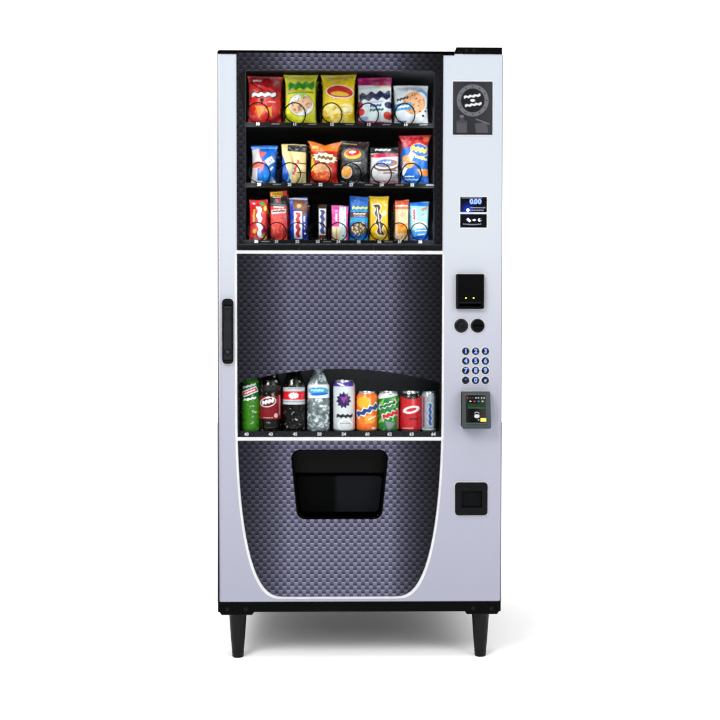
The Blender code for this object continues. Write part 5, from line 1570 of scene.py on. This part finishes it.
def add_card_reader():
    """The card reader: a black fascia on a grey-green body, with lamps, a display band and keys."""
    body = moulded("reader_grey", "#50595a", 0.45)
    finish_node(body, "card_reader")
    low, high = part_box("card_reader")
    back_plate = moulded("reader_back", "#141417", 0.4)
    outline = [rounded((low.x - 0.0015, low.z + 0.004), (high.x + 0.0005, high.z + 0.0012), 0.002)]
    plate_mesh = plate(outline, FACE - 0.0200, FACE - 0.0004, 0.0008)
    piece("reader_back_plate", plate_mesh, back_plate, "door", "reader_plastic")
    foot = Vector((0.0, -0.4630, 0.7330))
    head = Vector((0.0, -0.4440, 0.8060))
    slope = head - foot
    tilt = math.atan2(slope.y, slope.z)

    def on_face(mesh):
        """Lays a mesh made upright about the face's foot onto the sloping face."""
        mesh.transform(Matrix.Translation(foot) @ Matrix.Rotation(-tilt, 4, "X"))
        return mesh

    left, right = low.x + 0.0085, high.x - 0.0145
    bottom, top = -0.012, slope.length - 0.004
    width, height = right - left, top - bottom

    def spot(across, up):
        return left + width * across, bottom + height * up

    def tile(across, up, half_width, half_height, radius=0.0006):
        centre = spot(across, up)
        low_corner = (centre[0] - half_width, centre[1] - half_height)
        return rounded(low_corner, (centre[0] + half_width, centre[1] + half_height), radius)

    def marks_on_face(name, outlines, look, depth=0.0005):
        marks = merged(plate([outline], -0.0022 - depth, -0.0021) for outline in outlines)
        piece(name, on_face(marks), look, "door", "reader_plastic")

    fascia = moulded("reader_fascia", "#0c0c0e", 0.2, specular=0.3)
    outline = [rounded((left, bottom), (right, top), 0.003)]
    face = on_face(plate(outline, -0.0022, -0.0003, 0.0004))
    piece("reader_fascia", face, fascia, "door", "reader_plastic")
    bezel = moulded("reader_bezel", "#606c6a", 0.4)
    outline = [rounded((left - 0.0022, bottom - 0.003), (right + 0.0022, top + 0.003), 0.004)]
    outline.append(rounded((left - 0.0003, bottom - 0.0003), (right + 0.0003, top + 0.0003), 0.003))
    piece("reader_bezel", on_face(plate(outline, -0.0018, -0.0002, 0.0004)), bezel, "door", "reader_plastic")
    band = tile(0.53, 0.61, width * 0.43, height * 0.075)
    line = tile(0.53, 0.53, width * 0.42, 0.0006, 0.0003)
    marks_on_face("reader_display", [band], moulded("reader_band", "#264628", 0.3))
    marks_on_face("reader_line", [line], moulded("reader_pale", "#78827a", 0.4))
    dots = {
        "white": ("#dce0e6", (
            (0.52, 0.895), (0.64, 0.895), (0.80, 0.895), (0.92, 0.895), (0.24, 0.77), (0.84, 0.77))),
        "red": ("#e2543c", ((0.10, 0.895), (0.44, 0.77))),
        "blue": ("#3c96d2", ((0.64, 0.77),)),
        "grey": ("#5a5c62", ((0.24, 0.895), (0.36, 0.895))),
    }
    for colour, (shade, places) in dots.items():
        outlines = [tile(across, up, 0.0026 if up < 0.8 else 0.0017, 0.0018, 0.0008) for across, up in places]
        marks_on_face("reader_marks_" + colour, outlines, moulded("mark_" + colour, shade, 0.4))
    pale = moulded("reader_white", "#e2e6e8", 0.35)
    middle = spot(0.54, 0.235)
    oval = [(middle[0] + x * 0.0080, middle[1] + z * 0.0056) for x, z in circle((0.0, 0.0), 1.0, 32)]
    arc = []
    for radius, order in ((0.0088, 1), (0.0074, -1)):
        turns = [math.radians(30 + 120 * index / 14) for index in range(15)][::order]
        for turn in turns:
            arc.append((middle[0] + radius * math.cos(turn), middle[1] + 0.0040 + radius * math.sin(turn)))
    marks_on_face("reader_symbols", [oval, arc, tile(0.62, 0.10, 0.0014, 0.0014, 0.0010)], pale, 0.0008)
    amber = lit_look("reader_amber", "#eed65a", 0.7)
    marks_on_face("reader_amber_key", [tile(0.85, 0.10, 0.0082, 0.0050, 0.0010)], amber, 0.0007)


# ---- studio ------------------------------------------------------------------
def aim(item, target):
    direction = Vector(target) - item.location
    item.rotation_euler = direction.to_track_quat("-Z", "Y").to_euler()


def add_studio():
    """Camera, plain world, shadow-catching floor and three soft lights."""
    scene = bpy.context.scene
    scene.view_settings.view_transform = "Standard"
    data = bpy.data.cameras.new("camera")
    data.lens = 58.47
    data.clip_end = 60.0
    camera = bpy.data.objects.new("camera", data)
    camera.location = (-0.073, FACE - 3.5, 0.985)
    pitch, yaw, roll = math.radians(1.299), math.radians(1.19), math.radians(0.08)
    turn = Matrix.Rotation(-yaw, 4, "Z") @ Matrix.Rotation(math.pi / 2 - pitch, 4, "X")
    camera.rotation_euler = (turn @ Matrix.Rotation(roll, 4, "Z")).to_euler()
    scene.collection.objects.link(camera)
    scene.camera = camera
    world = bpy.data.worlds.new("studio")
    scene.world = world
    world.use_nodes = True
    tree = world.node_tree
    background = tree.nodes["Background"]
    background.inputs["Color"].default_value = (1.0, 1.0, 1.0, 1.0)
    path = tree.nodes.new("ShaderNodeLightPath")
    level = 0.44
    for ray, strength in (("Is Glossy Ray", 0.16), ("Is Camera Ray", 1.8)):
        span = tree.nodes.new("ShaderNodeMapRange")
        tree.links.new(path.outputs[ray], span.inputs["Value"])
        if isinstance(level, float):
            span.inputs["To Min"].default_value = level
        else:
            tree.links.new(level, span.inputs["To Min"])
        span.inputs["To Max"].default_value = strength
        level = span.outputs["Result"]
    tree.links.new(level, background.inputs["Strength"])
    shape = bmesh.new()
    bmesh.ops.create_grid(shape, x_segments=8, y_segments=8, size=9.0)
    floor_look = Look("pale_floor", "#fafafb", 0.7, specular=0.1)
    floor_look.set("Roughness", floor_look.span(floor_look.noise(3.0, 3.0), 0.3, 0.7, 0.62, 0.78))
    floor = bpy.data.objects.new("floor", mesh_of(shape))
    floor.data.materials.append(floor_look.material)
    scene.collection.objects.link(floor)
    floor.is_shadow_catcher = True
    key = area_light("key_light", (-1.9, -3.6, 3.4), (1.8, 1.8), 72.0)
    aim(key, (0.0, -0.3, 1.0))
    fill = area_light("fill_light", (2.4, -3.4, 2.2), (2.2, 2.2), 28.0)
    aim(fill, (0.0, -0.3, 0.9))
    top = area_light("top_light", (0.0, -0.6, 4.2), (3.0, 3.0), 42.0)
    aim(top, (0.0, -0.2, 0.0))


def main():
    add_studio()
    finish_cabinet()
    skin = door_look()
    finish_node(skin, "door_frame")
    finish_node(panel_look(), "front_panel")
    finish_node(moulded("shelf_black", "#1e2023", 0.5, depth=0.00003), "display_shelf")
    add_fasteners()
    add_rear_fittings()
    add_trays()
    add_packs()
    add_drinks()
    add_display_light()
    add_trims()
    add_edge_cap(skin)
    add_window_parts()
    add_chute()
    add_gasket()
    add_handle()
    add_keys()
    add_screens()
    add_poster()
    add_payment_parts()
    add_card_reader()


main()
